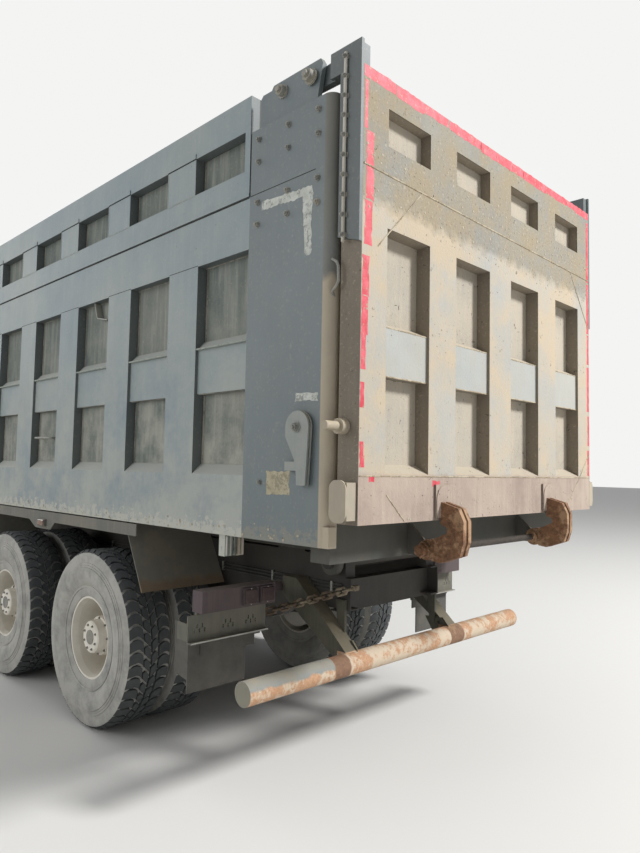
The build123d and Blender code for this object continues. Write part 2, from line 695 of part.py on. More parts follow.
def front_wheel():
    centre = front_tyre_y
    bore = spindle_radius + running_gap
    with BuildPart() as made:
        with BuildSketch(Plane.YZ):
            Polygon(*rim_section(centre, 1), align=None)
            Polygon((centre - 120, bore), (centre - 120, drum_radius), (centre + 110, drum_radius - 10),
                    (centre + 164, 160), (centre + 200, 100), (centre + 215, 80), (centre + 215, 0),
                    (centre + 102, 0), (centre + 102, bore), align=None)
        revolve(axis=Axis.Y)
    return made.part


rear_tyres = tyre((rear_tyre_y, rear_tyre_y - dual_spacing))
front_tyre = tyre((front_tyre_y,))
rear_rims = rear_wheel()
front_rim = front_wheel()

# Steering knuckle: two lugs round the axle's eye, the kingpin, a flange and the spindle
with BuildPart() as knuckle_form:
    with Locations((0, kingpin_y, 76), (0, kingpin_y, -76)):
        Cylinder(eye_radius, 28)
    with Locations((0, kingpin_y, 0)):
        Cylinder(kingpin_r, 200)
    with Locations((0, kingpin_y + 78, 0)):
        Box(150, 24, 190)
    with Locations((0, kingpin_y + 45, 76), (0, kingpin_y + 45, -76)):
        Box(110, 66, 28)
    with BuildSketch(Plane.XZ.offset(-(kingpin_y + 66))):
        Circle(spindle_radius)
    extrude(amount=-(front_tyre_y + 100 - kingpin_y - 66))

side_table = (("left", 1), ("right", -1))
axle_table = ((1, rear_axle_x[0]), (2, rear_axle_x[1]))
for number, x in axle_table:
    for side, sign in side_table:
        turn = 0 if sign > 0 else 180
        place = Pos(x, 0, wheel_z) * Rot(0, 0, turn)
        save(place * rear_tyres, f"rear_tyres_{number}_{side}")
        save(place * rear_rims, f"rear_wheel_{number}_{side}")
for number, x in ((1, front_axle_x[1]), (2, front_axle_x[0])):
    for side, sign in side_table:
        turn = 0 if sign > 0 else 180
        place = Pos(x, 0, wheel_z) * Rot(0, 0, turn)
        save(place * front_tyre, f"front_tyre_{number}_{side}")
        save(place * front_rim, f"front_wheel_{number}_{side}")
        save(place * knuckle_form.part, f"knuckle_{number}_{side}")

# Cab shell: one hollow body with its windows, door openings and wheel arches cut
screen_top = (cab_front_x - 300, cab_roof_z - 90)
screen_bottom = (cab_front_x - 70, 2020)
with BuildPart() as cab_shell:
    with BuildSketch(Plane.XZ):
        with BuildLine():
            Polyline((cab_rear_x, cab_bottom_z), (cab_rear_x, cab_roof_z - 60), (cab_rear_x + 60, cab_roof_z),
                     (cab_front_x - 400, cab_roof_z), screen_top, screen_bottom, (cab_front_x - 40, 1900),
                     (cab_front_x - 40, cab_bottom_z), (cab_rear_x, cab_bottom_z))
        cab_face = make_face()
    extrude(amount=cab_half_width, both=True)
    with BuildSketch(Plane.XY.offset(cab_bottom_z)):
        with Locations(((cab_rear_x + cab_front_x - 40) / 2, 0)):
            RectangleRounded(cab_length - 40, 2 * cab_half_width, cab_corner_r)
    extrude(amount=cab_roof_z - cab_bottom_z, mode=Mode.INTERSECT)
    with BuildSketch(Plane.XZ):
        add(cab_face)
        offset(amount=-cab_wall, kind=Kind.INTERSECTION)
    extrude(amount=cab_half_width - cab_wall, both=True, mode=Mode.SUBTRACT)
    # Windscreen
    with Locations((cab_front_x - 150, 0, 2540)):
        Box(500, 2 * cab_half_width - 260, 900, mode=Mode.SUBTRACT)
    # Rear windows
    with Locations((cab_rear_x, 560, 2450), (cab_rear_x, -560, 2450)):
        Box(200, 500, 420, mode=Mode.SUBTRACT)
    # Door openings
    with BuildSketch(Plane.XZ):
        Polygon((door_rear_x, 1260), (door_rear_x, 2960), (door_front_x - 120, 2960),
                (door_front_x + 50, 2080),
                (door_front_x + 50, 1260), align=None)
    extrude(amount=cab_half_width + 20, both=True, mode=Mode.SUBTRACT)
    # Engine tunnel's way through the floor
    with Locations(((tunnel_rear_x + tunnel_front_x) / 2, 0, cab_bottom_z)):
        Box(tunnel_front_x - tunnel_rear_x, 2 * tunnel_half, 200, mode=Mode.SUBTRACT)
    # Arms down to the pins that the cab tilts on
    with BuildSketch(side_plane(cab_pin_y + 15)):
        Polygon((cab_pin_x - 120, cab_bottom_z + 10), (cab_pin_x - 42, cab_pin_z),
                (cab_pin_x + 42, cab_pin_z),
                (cab_pin_x + 80, cab_bottom_z + 10), align=None)
        with Locations((cab_pin_x, cab_pin_z)):
            Circle(44)
            Circle(cab_pin_r + running_gap, mode=Mode.SUBTRACT)
    extrude(amount=30)
    # Door hinges: a fixed pin between two knuckles on the outside
    for z in door_hinge_z:
        with Locations((door_hinge_x, door_hinge_y, z)):
            Cylinder(7, 140)
        with Locations((door_hinge_x, door_hinge_y, z + 55), (door_hinge_x, door_hinge_y, z - 55)):
            Cylinder(13, 40)
        with Locations((door_hinge_x + 28, cab_half_width + 3, z)):
            Box(30, 6, 150)
        with Locations((door_hinge_x + 10, cab_half_width + 3, z + 55),
                       (door_hinge_x + 10, cab_half_width + 3, z - 55)):
            Box(20, 6, 40)
    split(bisect_by=Plane.XZ, keep=Keep.BOTTOM)
    mirror(about=Plane.XZ)
save(cab_shell.part, "cab_shell")

# Cab glass: windscreen and rear panes, each set in its opening
glass_thickness = 6
with BuildPart() as cab_glass:
    with BuildSketch(side_plane(cab_half_width - 130.3)):
        Polygon((cab_front_x - 297, 2989.7), (cab_front_x - 304, 2989.7), (cab_front_x - 105, 2090.3),
                (cab_front_x - 98, 2090.3), align=None)
    extrude(amount=2 * (cab_half_width - 130.3))
    with Locations((cab_rear_x + 20, 560, 2450), (cab_rear_x + 20, -560, 2450)):
        Box(glass_thickness, 499.4, 419.4)
save(cab_glass.part, "cab_glass")

# Front panel with the grille's slats, below the windscreen
with BuildPart() as cab_front:
    with Locations((cab_front_x - 20, 0, 1460)):
        Box(40, 2 * (cab_half_width - cab_corner_r), 800)
        Box(60, 1500, 520, mode=Mode.SUBTRACT)
    with Locations(*[(cab_front_x - 24, 0, 1250 + 84 * k) for k in range(6)]):
        Box(30, 1500, 40)
    # Sun visor over the windscreen
    with BuildSketch(side_plane(cab_half_width - 120)):
        Polygon((cab_front_x - 350, cab_roof_z - 45), (cab_front_x - 90, cab_roof_z - 130),
                (cab_front_x - 96, cab_roof_z - 142), (cab_front_x - 340, cab_roof_z - 54), align=None)
    extrude(amount=2 * (cab_half_width - 120))
save(cab_front.part, "cab_front")

# Mirrors on arms from the windscreen pillars
with BuildPart() as mirrors:
    with Locations((cab_front_x - 315, cab_half_width + 110, 2560)):
        Box(90, 180, 420)
    with Locations((cab_front_x - 320, cab_half_width + 55, 2860),
                   (cab_front_x - 320, cab_half_width + 55, 2280)):
        Box(30, 110, 30)
    with Locations((cab_front_x - 320, cab_half_width + 105, 2570)):
        Box(30, 30, 590)
    mirror(about=Plane.XZ)
save(mirrors.part, "mirrors")

# Engine cover and dashboard with the steering wheel
cab_floor_z = cab_bottom_z + cab_wall
with BuildPart() as dashboard:
    with Locations((cab_front_x - 265, 0, 1680)):
        Box(359, 2 * (cab_half_width - cab_wall - seat_gap), 380)
    with Locations(((tunnel_rear_x + tunnel_front_x) / 2, 0, (cab_floor_z + seat_gap + 1590) / 2)):
        Box(tunnel_front_x - tunnel_rear_x + 60, 2 * tunnel_half + 60, 1590 - cab_floor_z - seat_gap)
    with Locations(((tunnel_rear_x + tunnel_front_x) / 2, 0, (cab_floor_z + 1440) / 2)):
        Box(tunnel_front_x - tunnel_rear_x, 2 * tunnel_half, 1440 - cab_floor_z, mode=Mode.SUBTRACT)
    with BuildSketch(Plane(origin=(cab_front_x - 580, 600, 1960), z_dir=(-0.5, 0, 0.866))):
        Circle(235)
        Circle(205, mode=Mode.SUBTRACT)
        Rectangle(30, 420)
    extrude(amount=24)
    with BuildSketch(Plane(origin=(cab_front_x - 580, 600, 1960), z_dir=(0.5, 0, -0.866))):
        Circle(28)
    extrude(amount=260)
save(dashboard.part, "dashboard")

# Two seats
seat_foot_z = cab_floor_z + seat_gap
with BuildPart() as seats:
    with BuildSketch(side_plane(900)):
        Polygon((door_rear_x + 120, seat_foot_z), (door_rear_x + 120, 1600), (door_rear_x - 40, 2280),
                (door_rear_x - 160, 2280), (door_rear_x, 1560), (door_rear_x, seat_foot_z), align=None)
        Polygon((door_rear_x, 1480), (door_rear_x, 1640), (door_rear_x + 560, 1660),
                (door_rear_x + 560, 1500),
                align=None)
        Polygon((door_rear_x + 120, seat_foot_z), (door_rear_x + 120, 1500), (door_rear_x + 420, 1500),
                (door_rear_x + 420, seat_foot_z), align=None)
    extrude(amount=480)
    mirror(about=Plane.XZ)
save(seats.part, "seats")

# Doors with their window cut, and their glass
door_gap = 5
with BuildPart() as door_form:
    with BuildSketch(side_plane(cab_half_width)):
        Polygon((door_rear_x + door_gap, 1260 + door_gap), (door_rear_x + door_gap, 2960 - door_gap),
                (door_front_x - 120 - door_gap, 2960 - door_gap), (door_front_x + 50 - door_gap, 2080),
                (door_front_x + 50 - door_gap, 1260 + door_gap), align=None)
        Polygon((door_rear_x + 90, 2130), (door_rear_x + 90, 2870), (door_front_x - 180, 2870),
                (door_front_x - 40, 2130), align=None, mode=Mode.SUBTRACT)
    extrude(amount=cab_wall)
    for z in door_hinge_z:
        with Locations((door_hinge_x, door_hinge_y, z)):
            Cylinder(13, 68)
        with Locations((door_hinge_x - 22, cab_half_width + 3, z)):
            Box(44, 6, 68)
        with Locations((door_hinge_x, door_hinge_y, z)):
            Cylinder(7 + running_gap, 70, mode=Mode.SUBTRACT)
    # Handle
    with Locations((door_rear_x + 150, cab_half_width + 20, 1960)):
        Box(190, 16, 34)
    with Locations((door_rear_x + 70, cab_half_width + 8, 1960),
                   (door_rear_x + 230, cab_half_width + 8, 1960)):
        Box(20, 20, 26)
with BuildPart() as pane_form:
    with BuildSketch(side_plane(cab_half_width - 20)):
        Polygon((door_rear_x + 90, 2130), (door_rear_x + 90, 2870), (door_front_x - 180, 2870),
                (door_front_x - 40, 2130), align=None)
    extrude(amount=glass_thickness)
for name, form in (("door", door_form.part), ("door_glass", pane_form.part)):
    save(form, name + "_left")
    save(form.mirror(Plane.XZ), name + "_right")

# Bed floor: sheet, cross members, bearers on the subframe and the hinge ears
side_inner_y = bed_half_width - side_thickness
bearer_bottom_z = rail_top_z + sub_height + sub_pad + seat_gap
member_bottom_z = floor_top_z - floor_plate - floor_member_height
floor_pitch = cell_pitch / 2
bearer_rear_x = pivot_x + 45
bearer_front_x = bed_front_x - 100
with BuildPart() as bed_floor:
    with Locations((bed_rear_x + (bed_length - head_thickness) / 2, 0, floor_top_z - floor_plate / 2)):
        Box(bed_length - head_thickness, 2 * side_inner_y, floor_plate)
    with BuildSketch(Plane.XZ):
        with Locations(*[(bed_rear_x + 420 + floor_pitch * k,
                          floor_top_z - floor_plate - floor_member_height / 2)
                         for k in range(19)]):
            Rectangle(70, floor_member_height)
    extrude(amount=side_inner_y, both=True)
    with Locations((bed_rear_x + 60, 0, (1250 + floor_top_z - floor_plate) / 2)):
        Box(120, 2 * side_inner_y, floor_top_z - floor_plate - 1250)
    with Locations(((bearer_rear_x + bearer_front_x) / 2, sub_y, (bearer_bottom_z + member_bottom_z) / 2)):
        Box(bearer_front_x - bearer_rear_x, sub_width, member_bottom_z - bearer_bottom_z)
    mirror(about=Plane.XZ)
    with BuildSketch(side_plane(rail_outer_y + 70)):
        Polygon((pivot_x - 110, member_bottom_z + 20), (pivot_x - 62, pivot_z), (pivot_x + 62, pivot_z),
                (pivot_x + 140, member_bottom_z + 20), align=None)
        with Locations((pivot_x, pivot_z)):
            Circle(72)
            Circle(pivot_r + running_gap, mode=Mode.SUBTRACT)
    extrude(amount=40)
    with BuildSketch(side_plane(hook_y + hook_plate_gap / 2 - 2)):
        Polygon((bed_rear_x, 1256), (bed_rear_x, 1420), (hook_pin_x + 20, hook_pin_z + 35),
                (hook_pin_x, hook_pin_z - 35), align=None)
        with Locations((hook_pin_x, hook_pin_z)):
            Circle(36)
            Circle(hook_pin_r + running_gap, mode=Mode.SUBTRACT)
    extrude(amount=hook_plate_gap - 4)
    mirror(about=Plane.XZ)
save(bed_floor.part, "bed_floor")

# Half-round outline of the pillar behind each rear post
with BuildSketch() as pillar:
    with Locations((bed_rear_x, bed_half_width - pillar_r)):
        Circle(pillar_r)
        Rectangle(pillar_r, 2 * pillar_r, align=(Align.MIN, Align.CENTER), mode=Mode.SUBTRACT)
pillar_form = pillar.sketch

# Bed sides: inner wall, rear post with its round pillar, and a pressed cell between each pair of ribs
with BuildPart() as bed_sides:
    with Locations((bed_rear_x + bed_length / 2, bed_half_width - side_thickness / 2,
                    (side_bottom_z + seam_z) / 2)):
        Box(bed_length, side_thickness, seam_z - side_bottom_z)
    with BuildSketch(Plane.YZ.offset(cell_first_x)):
        deep_y = bed_half_width - cell_depth
        rail_y = bed_half_width - 18
        Polygon((bed_half_width + 1, cell_bottom_z), (bed_half_width, cell_bottom_z),
                (deep_y, cell_bottom_z + 55),
                (deep_y, mid_rail_bottom_z), (rail_y, mid_rail_bottom_z), (rail_y, mid_rail_top_z),
                (deep_y, mid_rail_top_z + 45), (deep_y, cell_top_z),
                (bed_half_width + 1, cell_top_z), align=None)
    pocket = extrude(amount=cell_width, mode=Mode.PRIVATE)
    with Locations(*[(cell_pitch * k, 0, 0) for k in range(cell_count)]):
        add(pocket, mode=Mode.SUBTRACT)
    with BuildSketch(Plane.XY.offset(side_bottom_z)):
        add(pillar_form)
    extrude(amount=seam_z - side_bottom_z)
    with Locations((bed_rear_x - 42, bed_half_width - 32, side_bottom_z + 46)):
        Box(40, 50, 92)
    # Guard lamp under the side, behind five upright bars
    with Locations((guard_lamp_x, bed_half_width - 75, side_bottom_z - 55)):
        Box(50, 120, 110)
    with Locations(*[(guard_lamp_x - 28, bed_half_width - 123 + 24 * k,
                      side_bottom_z - 57) for k in range(5)]):
        Cylinder(9, 98)
    mirror(about=Plane.XZ)
save(bed_sides.part, "bed_sides")

# Top rails: the raised upper frame of each side, from the ear plates to the front
rail_cell_z = (rail_window_z[0] + rail_window_z[1]) / 2
with BuildPart() as top_rails:
    with Locations(((cell_first_x + 7 + bed_front_x) / 2, bed_half_width - side_thickness / 2,
                    (seam_z + side_top_z) / 2)):
        Box(bed_front_x - cell_first_x - 7, side_thickness, side_top_z - seam_z)
    with Locations(*[(cell_first_x + 50 + cell_width / 2 + cell_pitch * k,
                      bed_half_width - cell_depth / 2 + 1, rail_cell_z)
                     for k in range(cell_count)]):
        Box(cell_width, cell_depth + 2, rail_window_z[1] - rail_window_z[0], mode=Mode.SUBTRACT)
    mirror(about=Plane.XZ)
save(top_rails.part, "top_rails")

# Hinge posts: the plate above each rear post, the pillar's top and the ear with the tailgate's pin
ear_outer_y = bed_half_width - 20
ear_top_z = side_top_z - 1
with BuildPart() as hinge_posts:
    with Locations((bed_rear_x + 263, bed_half_width - side_thickness / 2, (seam_z + post_top_z) / 2)):
        Box(526, side_thickness, post_top_z - seam_z)
    with BuildSketch(Plane.XY.offset(seam_z)):
        add(pillar_form)
    extrude(amount=post_top_z - seam_z)
    with BuildSketch(side_plane(ear_outer_y)):
        with BuildLine():
            Polyline((bed_rear_x + 75, post_top_z), (bed_rear_x + 40, ear_top_z - 25),
                     (bed_rear_x + 55, ear_top_z),
                     (bed_rear_x + 385, ear_top_z), (bed_rear_x + 400, ear_top_z - 20),
                     (bed_rear_x + 465, ear_top_z - 20), (bed_rear_x + 480, ear_top_z - 35),
                     (bed_rear_x + 480, post_top_z), (bed_rear_x + 75, post_top_z))
        make_face()
    extrude(amount=ear_thickness)
    with BuildSketch(side_plane(ear_outer_y + 12)):
        with Locations((gate_pin_x, gate_pin_z)):
            Circle(gate_pin_r)
    extrude(amount=12 + ear_thickness + 60)
    mirror(about=Plane.XZ)
save(hinge_posts.part, "hinge_posts")

# Head board with upright ribs and the hoist's bracket ears
eye_half = 40
bracket_gap = 8
with BuildPart() as head_board:
    with Locations((bed_front_x - head_thickness / 2, 0, (side_bottom_z + side_top_z) / 2)):
        Box(head_thickness, 2 * side_inner_y, side_top_z - side_bottom_z)
    with Locations(*[(bed_front_x - 20, 450 * k, (floor_top_z + side_top_z - 80) / 2)
                     for k in (-2, -1, 1, 2)]):
        Box(60, 330, side_top_z - floor_top_z - 280, mode=Mode.SUBTRACT)
    with BuildSketch(side_plane(eye_half + bracket_gap + 24)):
        Polygon((bed_front_x, hoist_eye_z - 330), (bed_front_x, hoist_eye_z + 260),
                (hoist_eye_x, hoist_eye_z + 75),
                (hoist_eye_x + 70, hoist_eye_z + 20), (hoist_eye_x + 70, hoist_eye_z - 40),
                (hoist_eye_x, hoist_eye_z - 75), align=None)
    extrude(amount=24)
    mirror(about=Plane.XZ)
save(head_board.part, "head_board")

# Tailgate: frame with four columns of cells, thin inner sheet, wear pads for the hooks
gate_front_x = gate_rear_x + gate_depth
gate_cell_y = (-834, -278, 278, 834)
gate_cell_width = 327
gate_cell_z = (gate_bottom_z + 217, gate_top_z - 695)
gate_mid_z = (2094, 2317)
gate_window_z = (gate_top_z - 315, gate_top_z - 139)
with BuildPart() as tailgate:
    with Locations((gate_rear_x + gate_depth / 2, 0, (gate_bottom_z + gate_top_z) / 2)):
        Box(gate_depth, 2 * gate_half_width, gate_top_z - gate_bottom_z)
    with Locations((gate_front_x + gate_sheet / 2, 0, (gate_bottom_z + 30 + gate_top_z - 60) / 2)):
        Box(gate_sheet, 2 * (side_inner_y - 30), gate_top_z - gate_bottom_z - 90)
    with BuildSketch(Plane.XZ):
        Polygon((gate_rear_x - 1, gate_cell_z[0]), (gate_rear_x, gate_cell_z[0]),
                (gate_rear_x + 80, gate_cell_z[0] + 44),
                (gate_rear_x + 80, gate_mid_z[0]), (gate_rear_x + 15, gate_mid_z[0]),
                (gate_rear_x + 15, gate_mid_z[1]),
                (gate_rear_x + 80, gate_mid_z[1] + 33), (gate_rear_x + 80, gate_cell_z[1]),
                (gate_rear_x - 1, gate_cell_z[1]), align=None)
        Polygon((gate_rear_x - 1, gate_window_z[0]), (gate_rear_x + 60, gate_window_z[0]),
                (gate_rear_x + 60, gate_window_z[1]), (gate_rear_x - 1, gate_window_z[1]), align=None)
    gate_pocket = extrude(amount=gate_cell_width / 2, both=True, mode=Mode.PRIVATE)
    with Locations(*[(0, y, 0) for y in gate_cell_y]):
        add(gate_pocket, mode=Mode.SUBTRACT)
    pad_thickness = 12
    with Locations((gate_rear_x - pad_thickness / 2, hook_y, 1530),
                   (gate_rear_x - pad_thickness / 2, -hook_y, 1530)):
        Box(pad_thickness, 140, 160)
    # Side pins for the latches, and the guide brackets below them
    with BuildSketch(side_plane(gate_half_width + 128)):
        with Locations((striker_x, striker_z)):
            Circle(20)
    extrude(amount=128)
    with BuildSketch(side_plane(gate_half_width + 46)):
        with Locations((striker_x, striker_z)):
            Circle(34)
    extrude(amount=46)
    with BuildSketch(side_plane(gate_half_width + 60)):
        with Locations((gate_rear_x + 43, guide_z)):
            Rectangle(70, 160)
            Rectangle(54, 120, mode=Mode.SUBTRACT)
    extrude(amount=60)
    with BuildSketch(side_plane(gate_half_width + 68)):
        with Locations((gate_rear_x + 56, guide_z)):
            RectangleRounded(96, 180, 38)
    extrude(amount=8)
    mirror(about=Plane.XZ)
save(tailgate.part, "tailgate")

# Tailgate arms: the hanging plate on each side and the arm with the eye round the pin
arm_outer_y = ear_outer_y - ear_thickness - swing_gap
plate_thickness = 18
plate_bottom_z = gate_top_z - 798
with BuildPart() as gate_arms:
    with BuildSketch(side_plane(gate_half_width + plate_thickness)):
        Polygon((gate_rear_x, plate_bottom_z), (gate_rear_x, gate_pin_z + 63),
                (bed_rear_x - 10, gate_pin_z + 63),
                (bed_rear_x - 10, gate_top_z - 8), (gate_front_x + 6, gate_top_z - 8),
                (gate_front_x + 6, plate_bottom_z + 40), align=None)
    extrude(amount=plate_thickness)
    with BuildSketch(side_plane(gate_half_width)):
        Polygon((gate_rear_x + 10, gate_top_z), (gate_rear_x + 10, gate_pin_z + 55),
                (bed_rear_x - 10, gate_pin_z + 55), (bed_rear_x - 10, gate_top_z), align=None)
    extrude(amount=gate_half_width - arm_outer_y + 35)
    with BuildSketch(side_plane(arm_outer_y)):
        Polygon((bed_rear_x - 12, gate_top_z), (bed_rear_x - 12, gate_pin_z + 55),
                (gate_pin_x, gate_pin_z + 45),
                (gate_pin_x, gate_pin_z - 45), align=None)
        with Locations((gate_pin_x, gate_pin_z)):
            Circle(45)
            Circle(gate_pin_r + running_gap, mode=Mode.SUBTRACT)
    extrude(amount=35)
    mirror(about=Plane.XZ)
save(gate_arms.part, "gate_arms")

# Tailgate hooks: two plates each side of the bracket, both hooks on one shaft
hook_rear_x = gate_rear_x - hook_reach
pad_face_x = gate_rear_x - pad_thickness - seat_gap
with BuildPart() as gate_hooks:
    with BuildSketch(side_plane(hook_y + hook_plate_gap / 2 + hook_plate)):
        with BuildLine():
            Polyline((hook_pin_x - 30, hook_pin_z - 50), (hook_pin_x - 80, hook_pin_z - 56),
                     (hook_rear_x + 20, hook_pin_z - 15), (hook_rear_x, hook_pin_z + 50),
                     (hook_rear_x, hook_pin_z + 150), (hook_rear_x + 30, hook_pin_z + 210),
                     (pad_face_x, hook_pin_z + 237), (pad_face_x, hook_pin_z + 130),
                     (gate_rear_x - 50, hook_pin_z + 115), (gate_rear_x - 50, hook_pin_z + 90),
                     (hook_pin_x - 30, hook_pin_z + 50), (hook_pin_x - 30, hook_pin_z - 50))
        make_face()
        with Locations((hook_pin_x, hook_pin_z)):
            Circle(50)
    extrude(amount=hook_plate)
    mirror(about=Plane.XZ.offset(-hook_y))
    mirror(about=Plane.XZ)
    with BuildSketch(side_plane(hook_y + 100)):
        with Locations((hook_pin_x, hook_pin_z)):
            Circle(hook_pin_r)
    extrude(amount=2 * (hook_y + 100))
save(gate_hooks.part, "gate_hooks")

# Side latch levers on the rear posts: two plates on a pivot, with a tab to lift them by
lever_x = bed_rear_x + 110
lever_z = striker_z
lever_r = 75
lever_foot_z = lever_z - 260
lever_tab_z = (lever_z - 195, lever_z - 155)
with BuildPart() as side_latches:
    with BuildSketch(side_plane(bed_half_width + 34), side_plane(bed_half_width + 18)):
        with BuildLine():
            Line((lever_x - 60, lever_foot_z), (lever_x - lever_r, lever_z))
            ThreePointArc((lever_x - lever_r, lever_z), (lever_x, lever_z + lever_r),
                          (lever_x + lever_r, lever_z))
            Polyline((lever_x + lever_r, lever_z), (lever_x + lever_r, lever_z - 40),
                     (lever_x + 12, lever_tab_z[1] + 8),
                     (lever_x + 12, lever_tab_z[1]), (lever_x + lever_r, lever_tab_z[1]),
                     (lever_x + lever_r, lever_tab_z[0]), (lever_x, lever_tab_z[0]),
                     (lever_x - 5, lever_foot_z),
                     (lever_x - 60, lever_foot_z))
        make_face()
    extrude(amount=10)
    with BuildSketch(side_plane(bed_half_width + 40)):
        with Locations((lever_x, lever_z)):
            RegularPolygon(26, 6)
    extrude(amount=40)
    mirror(about=Plane.XZ)
save(side_latches.part, "side_latches")

# Telescopic hoist between the cab and the bed: barrel on the frame's foot and four stages
barrel_r = 100
stage_wall = 12
stage_count = 5
hoist_length = ((hoist_eye_x - hoist_x) ** 2 + (hoist_eye_z - hoist_z) ** 2) ** 0.5
hoist_axis = Vector(hoist_eye_x - hoist_x, 0, hoist_eye_z - hoist_z).normalized()
hoist_plane = Plane(origin=(hoist_x, 0, hoist_z), x_dir=(0, 1, 0), z_dir=hoist_axis)
with BuildPart() as hoist_barrel:
    with BuildSketch(hoist_plane.offset(-75)):
        Circle(barrel_r)
    extrude(amount=hoist_length - 75)
    with BuildSketch(Plane.XZ):
        with Locations((hoist_x, hoist_z)):
            Circle(trunnion_r)
    extrude(amount=rail_outer_y - rail_wall - 10, both=True)
    with BuildSketch(hoist_plane.offset(-60)):
        Circle(barrel_r - stage_wall)
    extrude(amount=hoist_length, mode=Mode.SUBTRACT)
save(hoist_barrel.part, "hoist_barrel")
for k in range(stage_count):
    outer = barrel_r - stage_wall - running_gap - k * stage_wall
    with BuildPart() as stage:
        with BuildSketch(hoist_plane.offset(-58 + 2 * k)):
            Circle(outer)
            if k < stage_count - 1:
                Circle(outer - stage_wall + running_gap, mode=Mode.SUBTRACT)
        extrude(amount=hoist_length - 80 + 10 * k if k < stage_count - 1 else hoist_length)
        if k == stage_count - 1:
            with BuildSketch(Plane.XZ):
                with Locations((hoist_eye_x, hoist_eye_z)):
                    Circle(62)
            extrude(amount=eye_half, both=True)
    save(stage.part, f"hoist_stage_{k + 1}")
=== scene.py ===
"""Looks of a heavy four-axle dump truck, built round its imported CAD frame.

Metres throughout: X points forward, Y to the truck's left and Z up from the ground.
"""

import logging
import math
import random
from dataclasses import dataclass
from enum import Enum

import bmesh
import bpy
from bmesh.types import BMesh, BMVert
from bpy.types import Material, Node, NodeSocket, NodeTree, Object
from mathutils import Matrix, Vector

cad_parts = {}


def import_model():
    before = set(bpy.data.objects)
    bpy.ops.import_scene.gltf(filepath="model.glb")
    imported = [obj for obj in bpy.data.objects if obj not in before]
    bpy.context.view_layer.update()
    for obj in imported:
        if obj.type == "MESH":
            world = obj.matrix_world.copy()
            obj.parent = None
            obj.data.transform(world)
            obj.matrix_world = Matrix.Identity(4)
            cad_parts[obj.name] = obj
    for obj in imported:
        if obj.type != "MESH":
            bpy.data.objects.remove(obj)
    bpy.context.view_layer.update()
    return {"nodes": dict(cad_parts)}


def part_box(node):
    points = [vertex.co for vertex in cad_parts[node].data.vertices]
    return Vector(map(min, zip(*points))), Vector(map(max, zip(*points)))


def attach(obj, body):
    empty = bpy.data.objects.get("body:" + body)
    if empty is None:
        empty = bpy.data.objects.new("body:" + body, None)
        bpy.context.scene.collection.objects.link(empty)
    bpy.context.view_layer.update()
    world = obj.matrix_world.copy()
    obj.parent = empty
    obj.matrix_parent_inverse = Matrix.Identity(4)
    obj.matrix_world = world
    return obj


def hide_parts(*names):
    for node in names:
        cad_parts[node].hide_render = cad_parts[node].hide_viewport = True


log = logging.getLogger("dump_truck")
SIDES = (("left", 1.0), ("right", -1.0))
AXLE_Z = 0.560
REAR_AXLES = ((1, -2.845), (2, -1.395))
FRONT_AXLES = ((1, 3.750), (2, 1.900))
BED_REAR = -4.900
SHARP_ANGLE = math.radians(35)


class Zone(Enum):
    """Where dust settles most on a finish."""

    LEVEL_TOPS = "tops"
    LOW_DOWN = "low"
    EVERYWHERE = "all"


def linear(code: str) -> tuple[float, ...]:
    """Turns an sRGB hex colour such as "#6c7677" into linear red, green, blue and alpha."""
    parts = [int(code[i:i + 2], 16) / 255 for i in (1, 3, 5)]
    return (*(p / 12.92 if p <= 0.04045 else ((p + 0.055) / 1.055) ** 2.4 for p in parts), 1.0)


def per_metre(size_mm: float) -> float:
    """Noise scale whose features are about this many millimetres across."""
    return 1000.0 / size_mm


def circle(radius: float, count: int, closed: bool = False) -> list[tuple[float, float]]:
    """Points round a circle; a closed one ends where it starts."""
    turns = [math.tau * k / count for k in range(count + closed)]
    return [(radius * math.cos(turn), radius * math.sin(turn)) for turn in turns]


def add(tree: NodeTree, kind: str, inputs: dict | None = None, **settings: object) -> Node:
    """Adds one shader node.

    Args:
        tree: Node tree that gets it.
        kind: Name of the node type after "ShaderNode".
        inputs: Socket name or number to a value, or to an output socket to link.
        settings: Attributes of the node.

    Returns:
        The new node.
    """
    node = tree.nodes.new(f"ShaderNode{kind}")
    for name, value in settings.items():
        setattr(node, name, value)
    for socket, value in (inputs or {}).items():
        if isinstance(value, NodeSocket):
            tree.links.new(value, node.inputs[socket])
        else:
            node.inputs[socket].default_value = value
    return node


